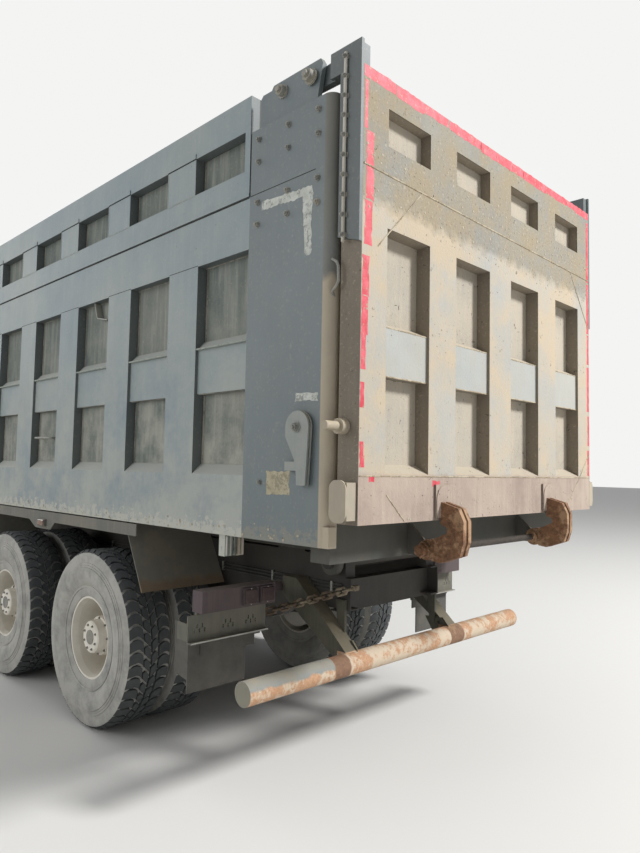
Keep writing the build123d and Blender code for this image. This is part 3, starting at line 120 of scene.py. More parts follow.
class Shading:
    """Node tree of one new material, built by calls that hand sockets on."""

    def __init__(self, name: str) -> None:
        """Starts an empty material.

        Args:
            name: Name of the finish.
        """
        self.material = bpy.data.materials.new(name)
        self.material.use_nodes = True
        self.tree = self.material.node_tree
        self.tree.nodes.clear()
        coordinates = add(self.tree, "TexCoord").outputs
        self.place, self.normal = coordinates["Object"], coordinates["Normal"]

    def split(self, vector: NodeSocket) -> list[NodeSocket]:
        """Splits a vector into X, Y and Z."""
        return list(add(self.tree, "SeparateXYZ", {0: vector}).outputs)

    def noise(self, size_mm: float, detail: float, roughness: float = 0.5,
              distortion: float = 0.0) -> NodeSocket:
        """Adds noise with features of a size in millimetres."""
        inputs = {"Vector": self.place, "Scale": per_metre(size_mm), "Detail": detail, "Roughness": roughness}
        return add(self.tree, "TexNoise", {**inputs, "Distortion": distortion}).outputs[0]

    def wave(self, size_mm: float, axis: str, distortion: float = 0.0) -> NodeSocket:
        """Adds bands across an axis."""
        inputs = {"Vector": self.place, "Scale": per_metre(size_mm) / 6.28, "Distortion": distortion}
        return add(self.tree, "TexWave", inputs, bands_direction=axis).outputs[1]

    def ramp(self, value: NodeSocket, low: float = 0.0, high: float = 1.0, least: float = 0.0,
             most: float = 1.0) -> NodeSocket:
        """Maps low to high onto least to most."""
        return add(self.tree, "MapRange", {0: value, 1: low, 2: high, 3: least, 4: most}).outputs[0]

    def maths(self, operation: str, first: object, second: object = 0.0, clamp: bool = False) -> NodeSocket:
        """Combines two values."""
        return add(self.tree, "Math", {0: first, 1: second}, operation=operation, use_clamp=clamp).outputs[0]

    def vector(self, operation: str, first: object, second: tuple = (0.0, 0.0, 0.0)) -> NodeSocket:
        """Combines two vectors."""
        return add(self.tree, "VectorMath", {0: first, 1: second}, operation=operation).outputs[0]

    def cover(self, mask: NodeSocket, below: object, above: str) -> NodeSocket:
        """Lays a hex colour over a colour where the mask is high."""
        inputs = {"Factor": mask, "A": linear(below) if isinstance(below, str) else below, "B": linear(above)}
        return add(self.tree, "Mix", inputs, data_type="RGBA").outputs["Result"]

    def bump(self, height: NodeSocket, strength: float, distance: float, **normal: NodeSocket) -> NodeSocket:
        """Adds relief over the surface or over another relief, passed as Normal."""
        inputs = {"Height": height, "Strength": strength, "Distance": distance, **normal}
        return add(self.tree, "Bump", inputs).outputs[0]

    def shade(self, colour: object, roughness: object, relief: NodeSocket,
              more: dict | None = None) -> Material:
        """Closes the tree with one shader and gives the material."""
        inputs = {"Base Color": colour, "Roughness": roughness, "Normal": relief, **(more or {})}
        return self.close(add(self.tree, "BsdfPrincipled", inputs).outputs[0])

    def close(self, surface: NodeSocket) -> Material:
        """Links the surface to the output and gives the material."""
        add(self.tree, "OutputMaterial", {"Surface": surface})
        return self.material


@dataclass(frozen=True)
class WornPaint:
    """Sprayed alkyd paint on welded plate: faded, scratched, dusty and streaked from the top edge down, with
    painted shade on faces that look sideways or down.
    """

    name: str
    paint: str
    faded: str
    dust: str = "#8d8676"
    rust: str = "#6f4a30"
    dust_share: float = 0.35
    rust_share: float = 0.12
    chip_share: float = 0.1
    streak_share: float = 0.35
    roughness: float = 0.55
    zone: Zone = Zone.LEVEL_TOPS
    low_z: float = 1.3
    high_z: float = 2.2
    # Painted shade: colour for faces that look neither along the axis below nor up, and that axis
    painted_shade: str = ""
    unshaded_axis: int = 1
    specks: float = 0.0
    lump_mm: float = 1.5
    splash_z: float = 0.0

    def build(self) -> Material:
        """Builds the material, layer over layer from the bare paint out.

        Returns:
            The finished material.
        """
        art = Shading(self.name)
        spot, facing = art.split(art.place), art.split(art.normal)
        # Sun-faded areas a hand or two across
        colour = art.cover(art.ramp(art.noise(700, 6.0, 0.62), 0.38, 0.66), self.paint, self.faded)
        # Rain runs: stretched along Z
        runs_at = add(art.tree, "Mapping", {"Vector": art.place, "Scale": (14.0, 14.0, 0.9)}).outputs[0]
        runs = add(art.tree, "TexNoise", {"Vector": runs_at, "Scale": 1.6, "Detail": 5.0, "Roughness": 0.7})
        colour = art.cover(art.ramp(runs.outputs[0], 0.46, 0.74, most=self.streak_share), colour, self.dust)
        dusty, ledge = self.dust_layer(art, spot[2], facing[2])
        colour = art.cover(dusty, colour, self.dust)
        # Painted shade: faces that look neither along the unshaded axis nor up are darkened towards the shade
        # colour
        if self.painted_shade:
            unshaded = art.maths("ADD", art.maths("ABSOLUTE", facing[self.unshaded_axis]), ledge)
            colour = art.cover(art.ramp(unshaded, 0.25, 0.7, 0.85, 0.0), colour, self.painted_shade)
        # Rust blooms with ragged edges
        onset = 0.70 - 0.2 * self.rust_share
        rusty = art.ramp(art.noise(170, 12.0, 0.78), onset, onset + 0.08, most=0.85)
        colour = art.cover(rusty, colour, self.rust)
        # Stone chips 5 to 20 mm across, drawn a little larger than real so that they show
        onset = 0.80 - 0.16 * self.chip_share
        chips = art.ramp(art.noise(38, 3.0, distortion=1.4), onset, onset + 0.02, most=0.8)
        colour = art.cover(chips, colour, "#3a342d")
        height = art.maths("ADD", art.noise(9, 4.0), rusty)
        if self.specks:
            # Pits and pellets 8 to 20 mm across, drawn a little larger than real
            pits = art.noise(15, 5.0, 0.6, 0.4)
            onset = 0.72 - 0.08 * self.specks
            colour = art.cover(art.ramp(pits, onset, onset + 0.08, most=0.8), colour, "#4a4136")
            colour = art.cover(art.ramp(pits, 0.42, 0.30, most=0.35 * self.specks), colour, "#c2b59e")
            height = art.maths("ADD", height, pits)
        dented = art.bump(art.noise(420, 2.0), 0.35, 0.03)
        relief = art.bump(height, 0.3, self.lump_mm / 1000.0, Normal=dented)
        return art.shade(colour, art.ramp(dusty, least=self.roughness, most=0.92), relief)

    def dust_layer(self, art: Shading, high: NodeSocket, upward: NodeSocket) -> tuple[NodeSocket, NodeSocket]:
        """Works out where dust lies: in soft patches, thicker where the zone says.

        Args:
            art: Tree of the material.
            high: Height of the point.
            upward: How far its face looks up.

        Returns:
            Masks of the dust and of the ledges.
        """
        share = self.dust_share
        bands = {Zone.LEVEL_TOPS: (upward, 0.15, 0.8, share * 0.5, 1.1),
                 Zone.LOW_DOWN: (high, self.low_z, self.high_z, share * 1.7, share * 0.2),
                 Zone.EVERYWHERE: (upward, 0.0, 0.9, share, 1.0)}
        patches = art.ramp(art.noise(260, 9.0, 0.68), 0.38, 0.60)
        dusty = art.maths("MULTIPLY", patches, art.ramp(*bands[self.zone]), clamp=True)
        # Ledges that look up hold more dust than any wall
        ledge = art.ramp(upward, 0.25, 0.75, most=0.45 + 0.55 * share)
        dusty = art.maths("MAXIMUM", dusty, ledge, clamp=True)
        if self.splash_z:
            reach = art.ramp(high, self.splash_z, self.splash_z + 0.16, 0.36, 0.72)
            over = art.maths("SUBTRACT", art.noise(55, 8.0, 0.7), reach)
            dusty = art.maths("MAXIMUM", dusty, art.ramp(over, 0.0, 0.05, most=0.85), clamp=True)
        return dusty, ledge


@dataclass(frozen=True)
class RustedSteel:
    """Bare hot-rolled steel left outside: layered brown and orange rust with polished rub marks."""

    name: str
    deep: str = "#5a3a26"
    bright: str = "#9a6238"
    pale: str = "#a89878"
    pale_share: float = 0.2
    grain_mm: float = 24.0

    def build(self) -> Material:
        """Builds the material.

        Returns:
            The finished material.
        """
        art = Shading(self.name)
        fine = art.noise(self.grain_mm, 8.0, 0.75)
        colour = art.cover(art.ramp(fine, 0.35, 0.65), self.deep, self.bright)
        onset = 0.62 - 0.3 * self.pale_share
        worn = art.ramp(art.noise(self.grain_mm * 8, 8.0, 0.7), onset, onset + 0.08, most=0.9)
        return art.shade(art.cover(worn, colour, self.pale), 0.82, art.bump(fine, 0.5, 0.002))


@dataclass(frozen=True)
class Rubber:
    """Carbon-black natural rubber, cured in a mould and greyed by road dust."""

    name: str
    base: str = "#26282b"
    dust: str = "#777873"
    dust_share: float = 0.5

    def build(self) -> Material:
        """Builds the material.

        Returns:
            The finished material.
        """
        art = Shading(self.name)
        dusty = art.ramp(art.noise(120, 8.0, 0.7), 0.3, 0.7, self.dust_share * 0.5, self.dust_share * 1.4)
        colour = art.cover(dusty, self.base, self.dust)
        return art.shade(colour, 0.86, art.bump(art.noise(6, 5.0), 0.3, 0.0012), {"IOR": 1.52})


@dataclass(frozen=True)
class PlainMetal:
    """Metal seen bare: drawn, plated or cast, with a film of dust in places."""

    name: str
    base: str
    roughness: float = 0.35
    dust: str = "#8b8474"
    dust_share: float = 0.2
    grain_mm: float = 5.0
    metallic: float = 1.0

    def build(self) -> Material:
        """Builds the material.

        Returns:
            The finished material.
        """
        art = Shading(self.name)
        dusty = art.ramp(art.noise(90, 7.0, 0.7), 0.42, 0.7, most=min(1.0, self.dust_share * 2))
        relief = art.bump(art.noise(self.grain_mm, 4.0), 0.2, 0.0008)
        bare = art.maths("SUBTRACT", self.metallic, dusty, clamp=True)
        colour, rough = art.cover(dusty, self.base, self.dust), art.ramp(dusty, least=self.roughness, most=0.85)
        return art.shade(colour, rough, relief, {"Metallic": bare})


@dataclass(frozen=True)
class MouldedPlastic:
    """Injection-moulded plastic with a fine leather grain."""

    name: str
    base: str
    roughness: float = 0.5
    grain_mm: float = 3.0

    def build(self) -> Material:
        """Builds the material.

        Returns:
            The finished material.
        """
        art = Shading(self.name)
        cells = add(art.tree, "TexVoronoi", {"Vector": art.place, "Scale": per_metre(self.grain_mm * 2)})
        colour = art.cover(art.ramp(art.noise(200, 6.0), 0.45, 0.75, most=0.35), self.base, "#7a766c")
        return art.shade(colour, self.roughness, art.bump(cells.outputs[0], 0.15, 0.0006))


@dataclass(frozen=True)
class CabGlass:
    """Tinted laminated glass with a dusty film."""

    name: str
    tint: str = "#9fb0ad"

    def build(self) -> Material:
        """Builds the material.

        Returns:
            The finished material.
        """
        art = Shading(self.name)
        smear = art.noise(180, 6.0)
        return art.shade(linear(self.tint), art.ramp(smear, 0.4, 0.8, 0.04, 0.22), art.bump(smear, 0.05, 0.001),
                         {"IOR": 1.5, "Transmission Weight": 0.9})


@dataclass(frozen=True)
class WovenCloth:
    """Plain-woven seat cloth, threads 2 mm apart and drawn at 4 mm so that they show."""

    name: str
    base: str
    thread: str

    def build(self) -> Material:
        """Builds the material.

        Returns:
            The finished material.
        """
        art = Shading(self.name)
        weave = art.maths("MULTIPLY", art.wave(4, "Y", 0.6), art.wave(4, "Z", 0.6))
        return art.shade(art.cover(weave, self.base, self.thread), 0.9, art.bump(weave, 0.4, 0.001),
                         {"Sheen Weight": 0.25})


@dataclass(frozen=True)
class Film:
    """Self-adhesive film or brushed-on marking paint: sun-bleached, torn at its edges and grimy."""

    name: str
    base: str
    bleached: str
    grime: str = "#7d776a"
    grime_share: float = 0.4
    roughness: float = 0.6

    def build(self) -> Material:
        """Builds the material.

        Returns:
            The finished material.
        """
        art = Shading(self.name)
        colour = art.cover(art.ramp(art.noise(55, 7.0, 0.7), 0.4, 0.64), self.base, self.bleached)
        dirt = art.noise(26, 9.0, 0.75)
        onset = 0.66 - 0.3 * self.grime_share
        colour = art.cover(art.ramp(dirt, onset, onset + 0.08, most=0.9), colour, self.grime)
        return art.shade(colour, self.roughness, art.bump(dirt, 0.3, 0.0008))


@dataclass(frozen=True)
class LampLens:
    """Moulded acrylic lens over a bright reflector, ribbed inside and filmed with dust."""

    name: str
    tint: str
    rib_mm: float = 9.0
    film: float = 0.4
    roughness: float = 0.12
    coat: float = 0.6

    def build(self) -> Material:
        """Builds the material.

        Returns:
            The finished material.
        """
        art = Shading(self.name)
        dusty = art.ramp(art.noise(60, 6.0), 0.45, 0.75, most=self.film)
        relief = art.bump(art.wave(self.rib_mm, "Z"), 0.25, 0.001)
        return art.shade(art.cover(dusty, self.tint, "#8d8778"), art.ramp(dusty, 0.0, 0.4, self.roughness, 0.6),
                         relief, {"Coat Weight": self.coat})


@dataclass(frozen=True)
class Zoned:
    """Two finishes on one welded piece: the first inside a box, the second outside it, with a ragged border."""

    name: str
    inside: object
    outside: object
    middle: tuple
    half: tuple
    border: float = 0.012
    soft: float = 0.001

    def build(self) -> Material:
        """Builds the material from both finishes' trees.

        Returns:
            The finished material.
        """
        art = Shading(self.name)
        ends = [self.copy_of(finish, art.tree) for finish in (self.inside, self.outside)]
        shift = art.ramp(art.noise(60, 5.0), least=-self.border, most=self.border)
        away = art.vector("ABSOLUTE", art.vector("SUBTRACT", art.place, self.middle))
        beyond = art.split(art.vector("SUBTRACT", away, self.half))
        most = art.maths("MAXIMUM", art.maths("MAXIMUM", beyond[0], beyond[1]), beyond[2])
        outside = art.ramp(art.maths("ADD", most, shift), -self.soft, self.soft)
        return art.close(add(art.tree, "MixShader", {0: outside, 1: ends[0], 2: ends[1]}).outputs[0])

    def copy_of(self, finish: object, tree: NodeTree) -> NodeSocket:
        """Copies a finish's nodes into this tree.

        Args:
            finish: Finish to copy.
            tree: Tree that gets the nodes.

        Returns:
            The shader output of the copy.
        """
        source = material_of(finish).node_tree
        twins = {}
        for node in source.nodes:
            twin = twins[node.name] = tree.nodes.new(node.bl_idname)
            for name in ("operation", "data_type", "bands_direction", "use_clamp"):
                if hasattr(node, name):
                    setattr(twin, name, getattr(node, name))
            for here, there in zip(node.inputs, twin.inputs):
                if hasattr(here, "default_value") and not here.is_linked:
                    there.default_value = here.default_value
        for link in source.links:
            start = list(link.from_node.outputs).index(link.from_socket)
            end = list(link.to_node.inputs).index(link.to_socket)
            tree.links.new(twins[link.from_node.name].outputs[start], twins[link.to_node.name].inputs[end])
        end = next(twins[node.name] for node in source.nodes if node.bl_idname == "ShaderNodeOutputMaterial")
        surface = end.inputs["Surface"].links[0].from_socket
        tree.nodes.remove(end)
        return surface


# Painted shade: the darker side colour given to some paints below darkens their sideways- and downward-facing
# faces.
BED_PAINT = WornPaint(
    "bed_alkyd_paint", "#78858b", "#899291", dust="#b6b5aa", dust_share=0.32, rust_share=0.02,
    rust="#8a5f3e", chip_share=0.15, streak_share=0.10, zone=Zone.LOW_DOWN, low_z=1.35, high_z=2.6,
    painted_shade="#4d5352", splash_z=1.331, specks=0.5)
# Dust thins from 1.6 m up to 2.7 m on the cell panels; the darker upper part also stands in as painted shade
# under the top beam.
CELL_PANEL = WornPaint(
    "cell_panel_paint", "#535d5a", "#6c716b", dust="#a8a79c", dust_share=0.50, rust_share=0.06,
    chip_share=0.2, streak_share=0.55, roughness=0.7, zone=Zone.LOW_DOWN, low_z=1.6, high_z=2.7,
    painted_shade="#40443f", specks=0.6)
POST_PAINT = WornPaint(
    "post_alkyd_paint", "#5f696c", "#677173", dust="#82827a", dust_share=0.22, rust_share=0.0,
    streak_share=0.08, chip_share=0.1, roughness=0.48, splash_z=1.331, specks=0.4)
ARM_PAINT = WornPaint(
    "arm_alkyd_paint", "#51595b", "#585f60", dust="#6e6d64", dust_share=0.22, rust_share=0.0,
    streak_share=0.12, chip_share=0.2, roughness=0.5, specks=0.4)
# Beige clay on the post's rear strip below 2.53 m, drawn pale as painted sunlight.
PILLAR_CLAY_AND_SUNLIGHT = WornPaint(
    "pillar_clay_and_painted_sunlight", "#a19786", "#b0a592", dust="#b9ac97", rust="#8a6a4c", rust_share=0.1,
    streak_share=0.2, roughness=0.75, zone=Zone.EVERYWHERE)
PILLAR_GREY = WornPaint(
    "pillar_grimy_paint", "#60625f", "#6d706d", dust="#858076", rust_share=0.05, streak_share=0.1,
    zone=Zone.EVERYWHERE)
BED_INSIDE = RustedSteel(
    "scoured_wall_plate", deep="#6f6355", bright="#8c7f70", pale="#a19a8e", pale_share=0.7, grain_mm=60.0)
CELLS = Zoned(
    "rib_paint_over_cell_panels", CELL_PANEL, BED_PAINT, (-1.0, 0.0, 2.4), (4.5, 1.1545, 1.4), 0.0004,
    0.0008)
WALLS = Zoned(
    "bed_paint_outside_scoured_wall", BED_INSIDE, CELLS, (-1.0, 0.0, 2.4), (6.0, 1.128, 1.4), 0.0004,
    0.0008)
POSTED = Zoned(
    "bed_paint_beside_post_paint", WALLS, POST_PAINT, (0.6265, 0.0, 2.4), (5.0, 1.4, 1.4), 0.0004, 0.0008)
PILLAR = Zoned(
    "pillar_sunlit_clay_below_grime", PILLAR_CLAY_AND_SUNLIGHT, PILLAR_GREY, (-5.0, 0.0, 1.6), (0.5, 1.4, 0.93), 0.05, 0.02)
BED_ZONES = Zoned("bed_paint_and_pillar", POSTED, PILLAR, (0.0, 0.0, 2.4), (4.903, 1.4, 1.4), 0.001, 0.002)
POST_ZONES = Zoned(
    "post_paint_and_pillar", POST_PAINT, PILLAR_GREY, (0.0, 0.0, 2.4), (4.903, 1.4, 1.4), 0.001, 0.002)
LATCH_PAINT = WornPaint(
    "latch_worn_paint", "#7c8484", "#8e938f", dust="#b1a996", dust_share=0.45, rust_share=0.05,
    chip_share=0.5, streak_share=0.2)
# Painted shade: the gate paints' brown-grey side colours darken the cells' side walls and the undersides of
# their ledges.
GATE_PAINT = WornPaint(
    "gate_clay_coated_paint", "#9b9c98", "#aaa59b", dust="#b8a68b", rust="#8f6d50", dust_share=0.75,
    rust_share=0.15, chip_share=0.5, streak_share=0.3, roughness=0.78, zone=Zone.EVERYWHERE,
    painted_shade="#7a7062", unshaded_axis=0, specks=0.9, lump_mm=4.0)
GATE_BEAM = WornPaint(
    "gate_beam_tan_clay", "#7e7e7a", "#8d8a80", dust="#96886f", rust="#7d5e43", dust_share=0.8,
    rust_share=0.3, chip_share=0.6, streak_share=0.3, roughness=0.8, zone=Zone.EVERYWHERE,
    painted_shade="#6f6557", unshaded_axis=0, specks=1.3, lump_mm=5.0)
GATE_GREY = WornPaint(
    "gate_grey_paint", "#9c9f9d", "#a8a8a2", dust="#a3977f", rust_share=0.1, chip_share=0.3, dust_share=0.3,
    streak_share=0.25, roughness=0.7, painted_shade="#7a7062", unshaded_axis=0, specks=0.6, lump_mm=3.0)
GATE_PANEL = WornPaint(
    "gate_rough_panel", "#9a948a", "#aaa396", dust="#b8ac98", rust="#7d6146", dust_share=0.5,
    rust_share=0.2, chip_share=0.6, streak_share=0.5, roughness=0.85, zone=Zone.EVERYWHERE,
    painted_shade="#7a7062", unshaded_axis=0, specks=1.0, lump_mm=5.0)
GATE_FOOT = WornPaint(
    "gate_foot_mud_and_rust", "#8c7c72", "#a29286", dust="#b3a394", rust="#80593d", dust_share=0.45,
    rust_share=0.3, chip_share=0.6, streak_share=0.7, roughness=0.85, zone=Zone.EVERYWHERE,
    painted_shade="#75695e", unshaded_axis=0, specks=0.5, lump_mm=3.0)
# Painted shade: the tailgate's side faces drawn dark brown-grey.
GATE_SIDE_SHADE = WornPaint(
    "gate_side_painted_shade", "#6f675c", "#7c7367", dust="#8c8171", dust_share=0.4, rust_share=0.1, chip_share=0.6,
    streak_share=0.3, roughness=0.8, specks=1.0, lump_mm=4.0)
GATE_PINS = WornPaint(
    "gate_pin_pale_paint", "#938a7b", "#a39a8a", dust="#b3a58d", rust="#7f6450", rust_share=0.2,
    zone=Zone.EVERYWHERE)
GATE_MIDS = Zoned(
    "gate_mid_plates_over_panels", GATE_GREY, GATE_PANEL, (-5.1, 0.0, 2.2055), (0.07, 2.0, 0.113), 0.001)
GATE_FRONT = Zoned(
    "gate_ribs_below_beam", GATE_PAINT, GATE_BEAM, (-5.1, 0.0, 2.2), (0.5, 2.0, 0.66), 0.06, 0.03)
GATE_RIBS = Zoned(
    "gate_ribs_over_cells", GATE_FRONT, GATE_MIDS, (-5.1, 0.0, 2.45), (0.0085, 2.0, 1.3), 0.0002, 0.0005)
GATE_FACES = Zoned(
    "gate_paint_over_muddy_foot", GATE_RIBS, GATE_FOOT, (-5.0, 0.0, 2.655), (0.5, 1.4, 1.0), 0.02, 0.012)
GATE_SIDES = Zoned(
    "gate_side_shade_and_pins", GATE_SIDE_SHADE, GATE_PINS, (-5.0, 0.0, 2.455), (0.5, 1.177, 1.1), 0.0005)
GATE_ZONES = Zoned(
    "gate_faces_and_sides", GATE_FACES, GATE_SIDES, (-5.0, 0.0, 2.455), (0.5, 1.1695, 1.3), 0.0004, 0.0006)
CAB_PAINT = WornPaint(
    "cab_acrylic_paint", "#5f6d73", "#6a777b", dust="#8a877c", dust_share=0.25, rust_share=0.0,
    chip_share=0.1, streak_share=0.15, roughness=0.32, zone=Zone.LOW_DOWN, low_z=1.1, high_z=2.4)
UNDERBODY = WornPaint(
    "underbody_dark_paint", "#3f413e", "#504e48", dust="#6d6555", dust_share=0.35, rust_share=0.3,
    chip_share=0.2, streak_share=0.1, roughness=0.75)
# Black paint on the frame, drawn darker still as painted shade under the bed.
FRAME_PAINT_AND_SHADE = WornPaint(
    "frame_black_paint_and_painted_shade", "#272625", "#3b3833", dust="#5d564a", dust_share=0.3, rust_share=0.2,
    chip_share=0.2, streak_share=0.1, roughness=0.7)
GUARD_PAINT = WornPaint(
    "mudguard_paint", "#5c5d59", "#6b6a63", dust="#8a8272", rust="#8a5f3b", dust_share=0.6, rust_share=0.3,
    roughness=0.7)
GUARD_EDGE = WornPaint(
    "mudguard_rusty_edge", "#5f5143", "#75624f", dust="#8a7a63", rust="#8a5a35", dust_share=0.5,
    rust_share=0.7, roughness=0.85, zone=Zone.EVERYWHERE)
GUARD_ZONES = Zoned(
    "mudguard_over_rusty_edge", GUARD_PAINT, GUARD_EDGE, (0.0, 0.0, 1.5), (9.0, 2.0, 0.52), 0.03, 0.02)
WHEEL_PAINT = WornPaint(
    "wheel_enamel", "#e2ddd2", "#eae6dc", dust="#cdc5b6", rust="#7a5a3d", dust_share=0.5, rust_share=0.1,
    chip_share=0.3, roughness=0.5, zone=Zone.EVERYWHERE)
PRIMER = WornPaint(
    "oxide_primer", "#43373a", "#51454a", dust="#6a6058", dust_share=0.4, rust_share=0.15, roughness=0.75)
CARRIER_GREY = WornPaint(
    "carrier_grey_paint", "#54564f", "#66665d", dust="#857c6c", rust="#6f4b31", dust_share=0.5,
    rust_share=0.3, roughness=0.75)
STRUT_PAINT = WornPaint(
    "strut_dark_green_paint", "#34372f", "#44463c", dust="#766d5b", rust="#6b4629", dust_share=0.45,
    rust_share=0.3, roughness=0.75)
HOOK_RUST = RustedSteel("hook_mill_scale", deep="#543c2a", bright="#8f6749", pale="#a38466", pale_share=0.4)
# Painted shade: the shaft between the hooks drawn near-black.
HOOK_SHAFT_SHADE = RustedSteel(
    "hook_shaft_painted_shade", deep="#26211c", bright="#3f362d", pale="#4c4237", pale_share=0.2)
HOOK_ZONES = Zoned(
    "hooks_on_shaded_shaft", HOOK_SHAFT_SHADE, HOOK_RUST, (-5.03, 0.0, 1.29), (0.2, 0.478, 0.2), 0.002)
# Painted shadow: near-black strips laid in the gaps under the raised frame and at the ribs' and piers' tops.
GAP_SHADE = PlainMetal("painted_shadow_gap", "#1f2120", roughness=0.9, dust_share=0.1, metallic=0.0)
TUBE_RUST = RustedSteel(
    "tube_scuffed_paint_over_rust", deep="#a27a59", bright="#bd987a", pale="#bfb09b", pale_share=0.55,
    grain_mm=16.0)
# Painted shadow: two dark bands across the tube, drawn as dark rust.
TUBE_SHADOW_BAND = RustedSteel(
    "tube_painted_shadow_band", deep="#6b5040", bright="#87674e", pale="#96795c", pale_share=0.2)
TUBE_GREY = WornPaint(
    "tube_blue_grey_paint", "#6f7879", "#7f8583", dust="#968e7e", rust="#96663e", dust_share=0.3,
    rust_share=0.5, chip_share=0.5, zone=Zone.EVERYWHERE)
FLOOR_STEEL = RustedSteel(
    "scoured_floor_plate", deep="#6d5a48", bright="#8c7a66", pale="#a39a8c", pale_share=0.8, grain_mm=60.0)
FLOOR_ZONES = Zoned(
    "scoured_floor_over_painted_beams", FLOOR_STEEL, UNDERBODY, (-1.0, 0.0, 1.60), (3.9, 1.3, 0.145), 0.001)
CHAIN_STEEL = RustedSteel(
    "forged_chain_steel", deep="#3f352b", bright="#6c5c49", pale="#857a66", pale_share=0.4)
TUBE_TOP = Zoned(
    "tube_grey_top_over_rust", TUBE_GREY, TUBE_RUST, (-4.465, 0.97, 0.665), (0.1, 0.30, 0.04), 0.02, 0.006)
TUBE_LEFT = Zoned(
    "tube_with_left_band", TUBE_SHADOW_BAND, TUBE_TOP, (-4.465, 0.61, 0.607), (0.1, 0.06, 0.1), 0.015, 0.004)
TUBE_BOTH = Zoned(
    "tube_with_both_bands", TUBE_SHADOW_BAND, TUBE_LEFT, (-4.465, -0.48, 0.607), (0.1, 0.075, 0.1), 0.015, 0.004)
TUBE_CAP = WornPaint(
    "tube_cap_weathered_grey", "#77756a", "#838174", dust="#8f8a79", rust="#7d5e42", dust_share=0.4,
    rust_share=0.2, roughness=0.8, zone=Zone.EVERYWHERE)
TUBE_CAPPED = Zoned(
    "tube_with_grey_caps", TUBE_BOTH, TUBE_CAP, (-4.465, 0.0, 0.607), (0.2, 1.2490, 0.2), 0.0004)
TUBE_ZONES = Zoned(
    "tube_rust_and_strut_paint", TUBE_CAPPED, STRUT_PAINT, (-4.465, 0.0, 0.607), (0.064, 1.4, 0.064), 0.002)
TREAD_RUBBER = Rubber("tread_rubber", base="#262b31", dust="#6b6d69", dust_share=0.3)
WALL_RUBBER = Rubber("sidewall_rubber", base="#54575a", dust="#a9a7a0", dust_share=0.9)
FLAP_RUBBER = Rubber("flap_rubber", base="#343331", dust="#69665e", dust_share=0.5)
CHANNEL_ZONES = Zoned(
    "channel_primer_over_grey_plates", PRIMER, CARRIER_GREY, (-4.0, 0.0, 0.965), (0.5, 1.4, 0.065), 0.001)
LAMP_ZONES = Zoned(
    "lamp_carrier_over_flaps", CHANNEL_ZONES, FLAP_RUBBER, (-4.0, 0.0, 0.93), (0.165, 1.4, 0.19), 0.001)
AXLE_IRON = PlainMetal(
    "cast_axle_iron", "#3a3835", roughness=0.7, dust="#5d564a", dust_share=0.6, metallic=0.3)
SPRING_STEEL = PlainMetal(
    "spring_steel", "#33312f", roughness=0.6, dust="#5f574a", dust_share=0.5, metallic=0.4)
ENGINE_IRON = PlainMetal(
    "cast_engine_iron", "#5a5d5d", roughness=0.6, dust="#57524a", dust_share=0.5, metallic=0.5)
CHROME = PlainMetal("hard_chrome_rod", "#c9cac8", roughness=0.16, dust_share=0.08)
ZINC = PlainMetal("zinc_plated_bolt", "#a9aaa4", roughness=0.42, dust="#7d7768", dust_share=0.3)
TANK_ALLOY = PlainMetal("brushed_tank_aluminium", "#a6a7a3", roughness=0.38, dust="#8e887a", dust_share=0.4)
SILENCER = PlainMetal("aluminised_silencer", "#837b70", roughness=0.5, dust="#6d6152", dust_share=0.5)
HOIST_PAINT = WornPaint(
    "hoist_grey_paint", "#4a4e50", "#565a5b", dust="#78715f", dust_share=0.35, rust_share=0.05,
    roughness=0.5)
DARK_PLASTIC = MouldedPlastic("moulded_dark_plastic", "#26282a")
SEAT_CLOTH = WovenCloth("woven_seat_cloth", "#26282c", "#4d5158")
PANE = CabGlass("cab_safety_glass")
RED_FILM = Film("peeling_red_marking_paint", "#b9303e", "#cf5a66", grime="#a18f78", grime_share=0.35)
WHITE_FILM = Film("torn_white_reflective_film", "#c3c5be", "#a9aba3", grime="#7c7f7b", grime_share=0.5)
AGED_FILM = Film("yellowed_label_film", "#9c9378", "#b0a88f", grime="#7f7966", grime_share=0.6)
# Dust on the mid rails; the thin pale strips on the piers' feet and front edges are painted highlight.
RAIL_DUST_AND_HIGHLIGHT = Film(
    "road_dust_and_painted_highlight", "#8f958f", "#a5a89f", grime="#7a817d", grime_share=0.4, roughness=0.95)
CLAY = Film("dried_clay_spatter", "#a39a88", "#b5ac9a", grime="#8b816f", grime_share=0.5, roughness=0.95)
WELD_STEEL = RustedSteel(
    "weld_bead_under_dust", deep="#6b6862", bright="#8a867b", pale="#9b968a", pale_share=0.5, grain_mm=14.0)
GATE_WELD = RustedSteel(
    "weld_bead_under_clay", deep="#85765f", bright="#a59a85", pale="#b8ac95", pale_share=0.5, grain_mm=14.0)
BOLT_DULL = PlainMetal(
    "phosphated_bolt", "#7c7d79", roughness=0.6, dust="#a09a8b", dust_share=0.5, metallic=0.3)
WHITE_ROD = WornPaint(
    "white_rod_paint", "#cfcac0", "#bdb7aa", rust="#7d5a3c", rust_share=0.5, chip_share=0.4)
RED_LENS = LampLens("red_acrylic_lens", "#2c1214", film=0.12, roughness=0.55, coat=0.0)
AMBER_LENS = LampLens("amber_acrylic_lens", "#6e3f1c")
CLEAR_LENS = LampLens("clear_polycarbonate_lens", "#c9cccb", rib_mm=14.0)
SEAL_RUBBER = Rubber("extruded_seal_rubber", base="#191a1b", dust="#6d6c66", dust_share=0.25)
MIRROR_SILVER = PlainMetal("silvered_mirror_glass", "#d7dadb", roughness=0.04, dust_share=0.06)
BLANK_PLATE = Film("blank_plate_enamel", "#c9c9c4", "#b9b9b2", grime="#8b8678", grime_share=0.3)

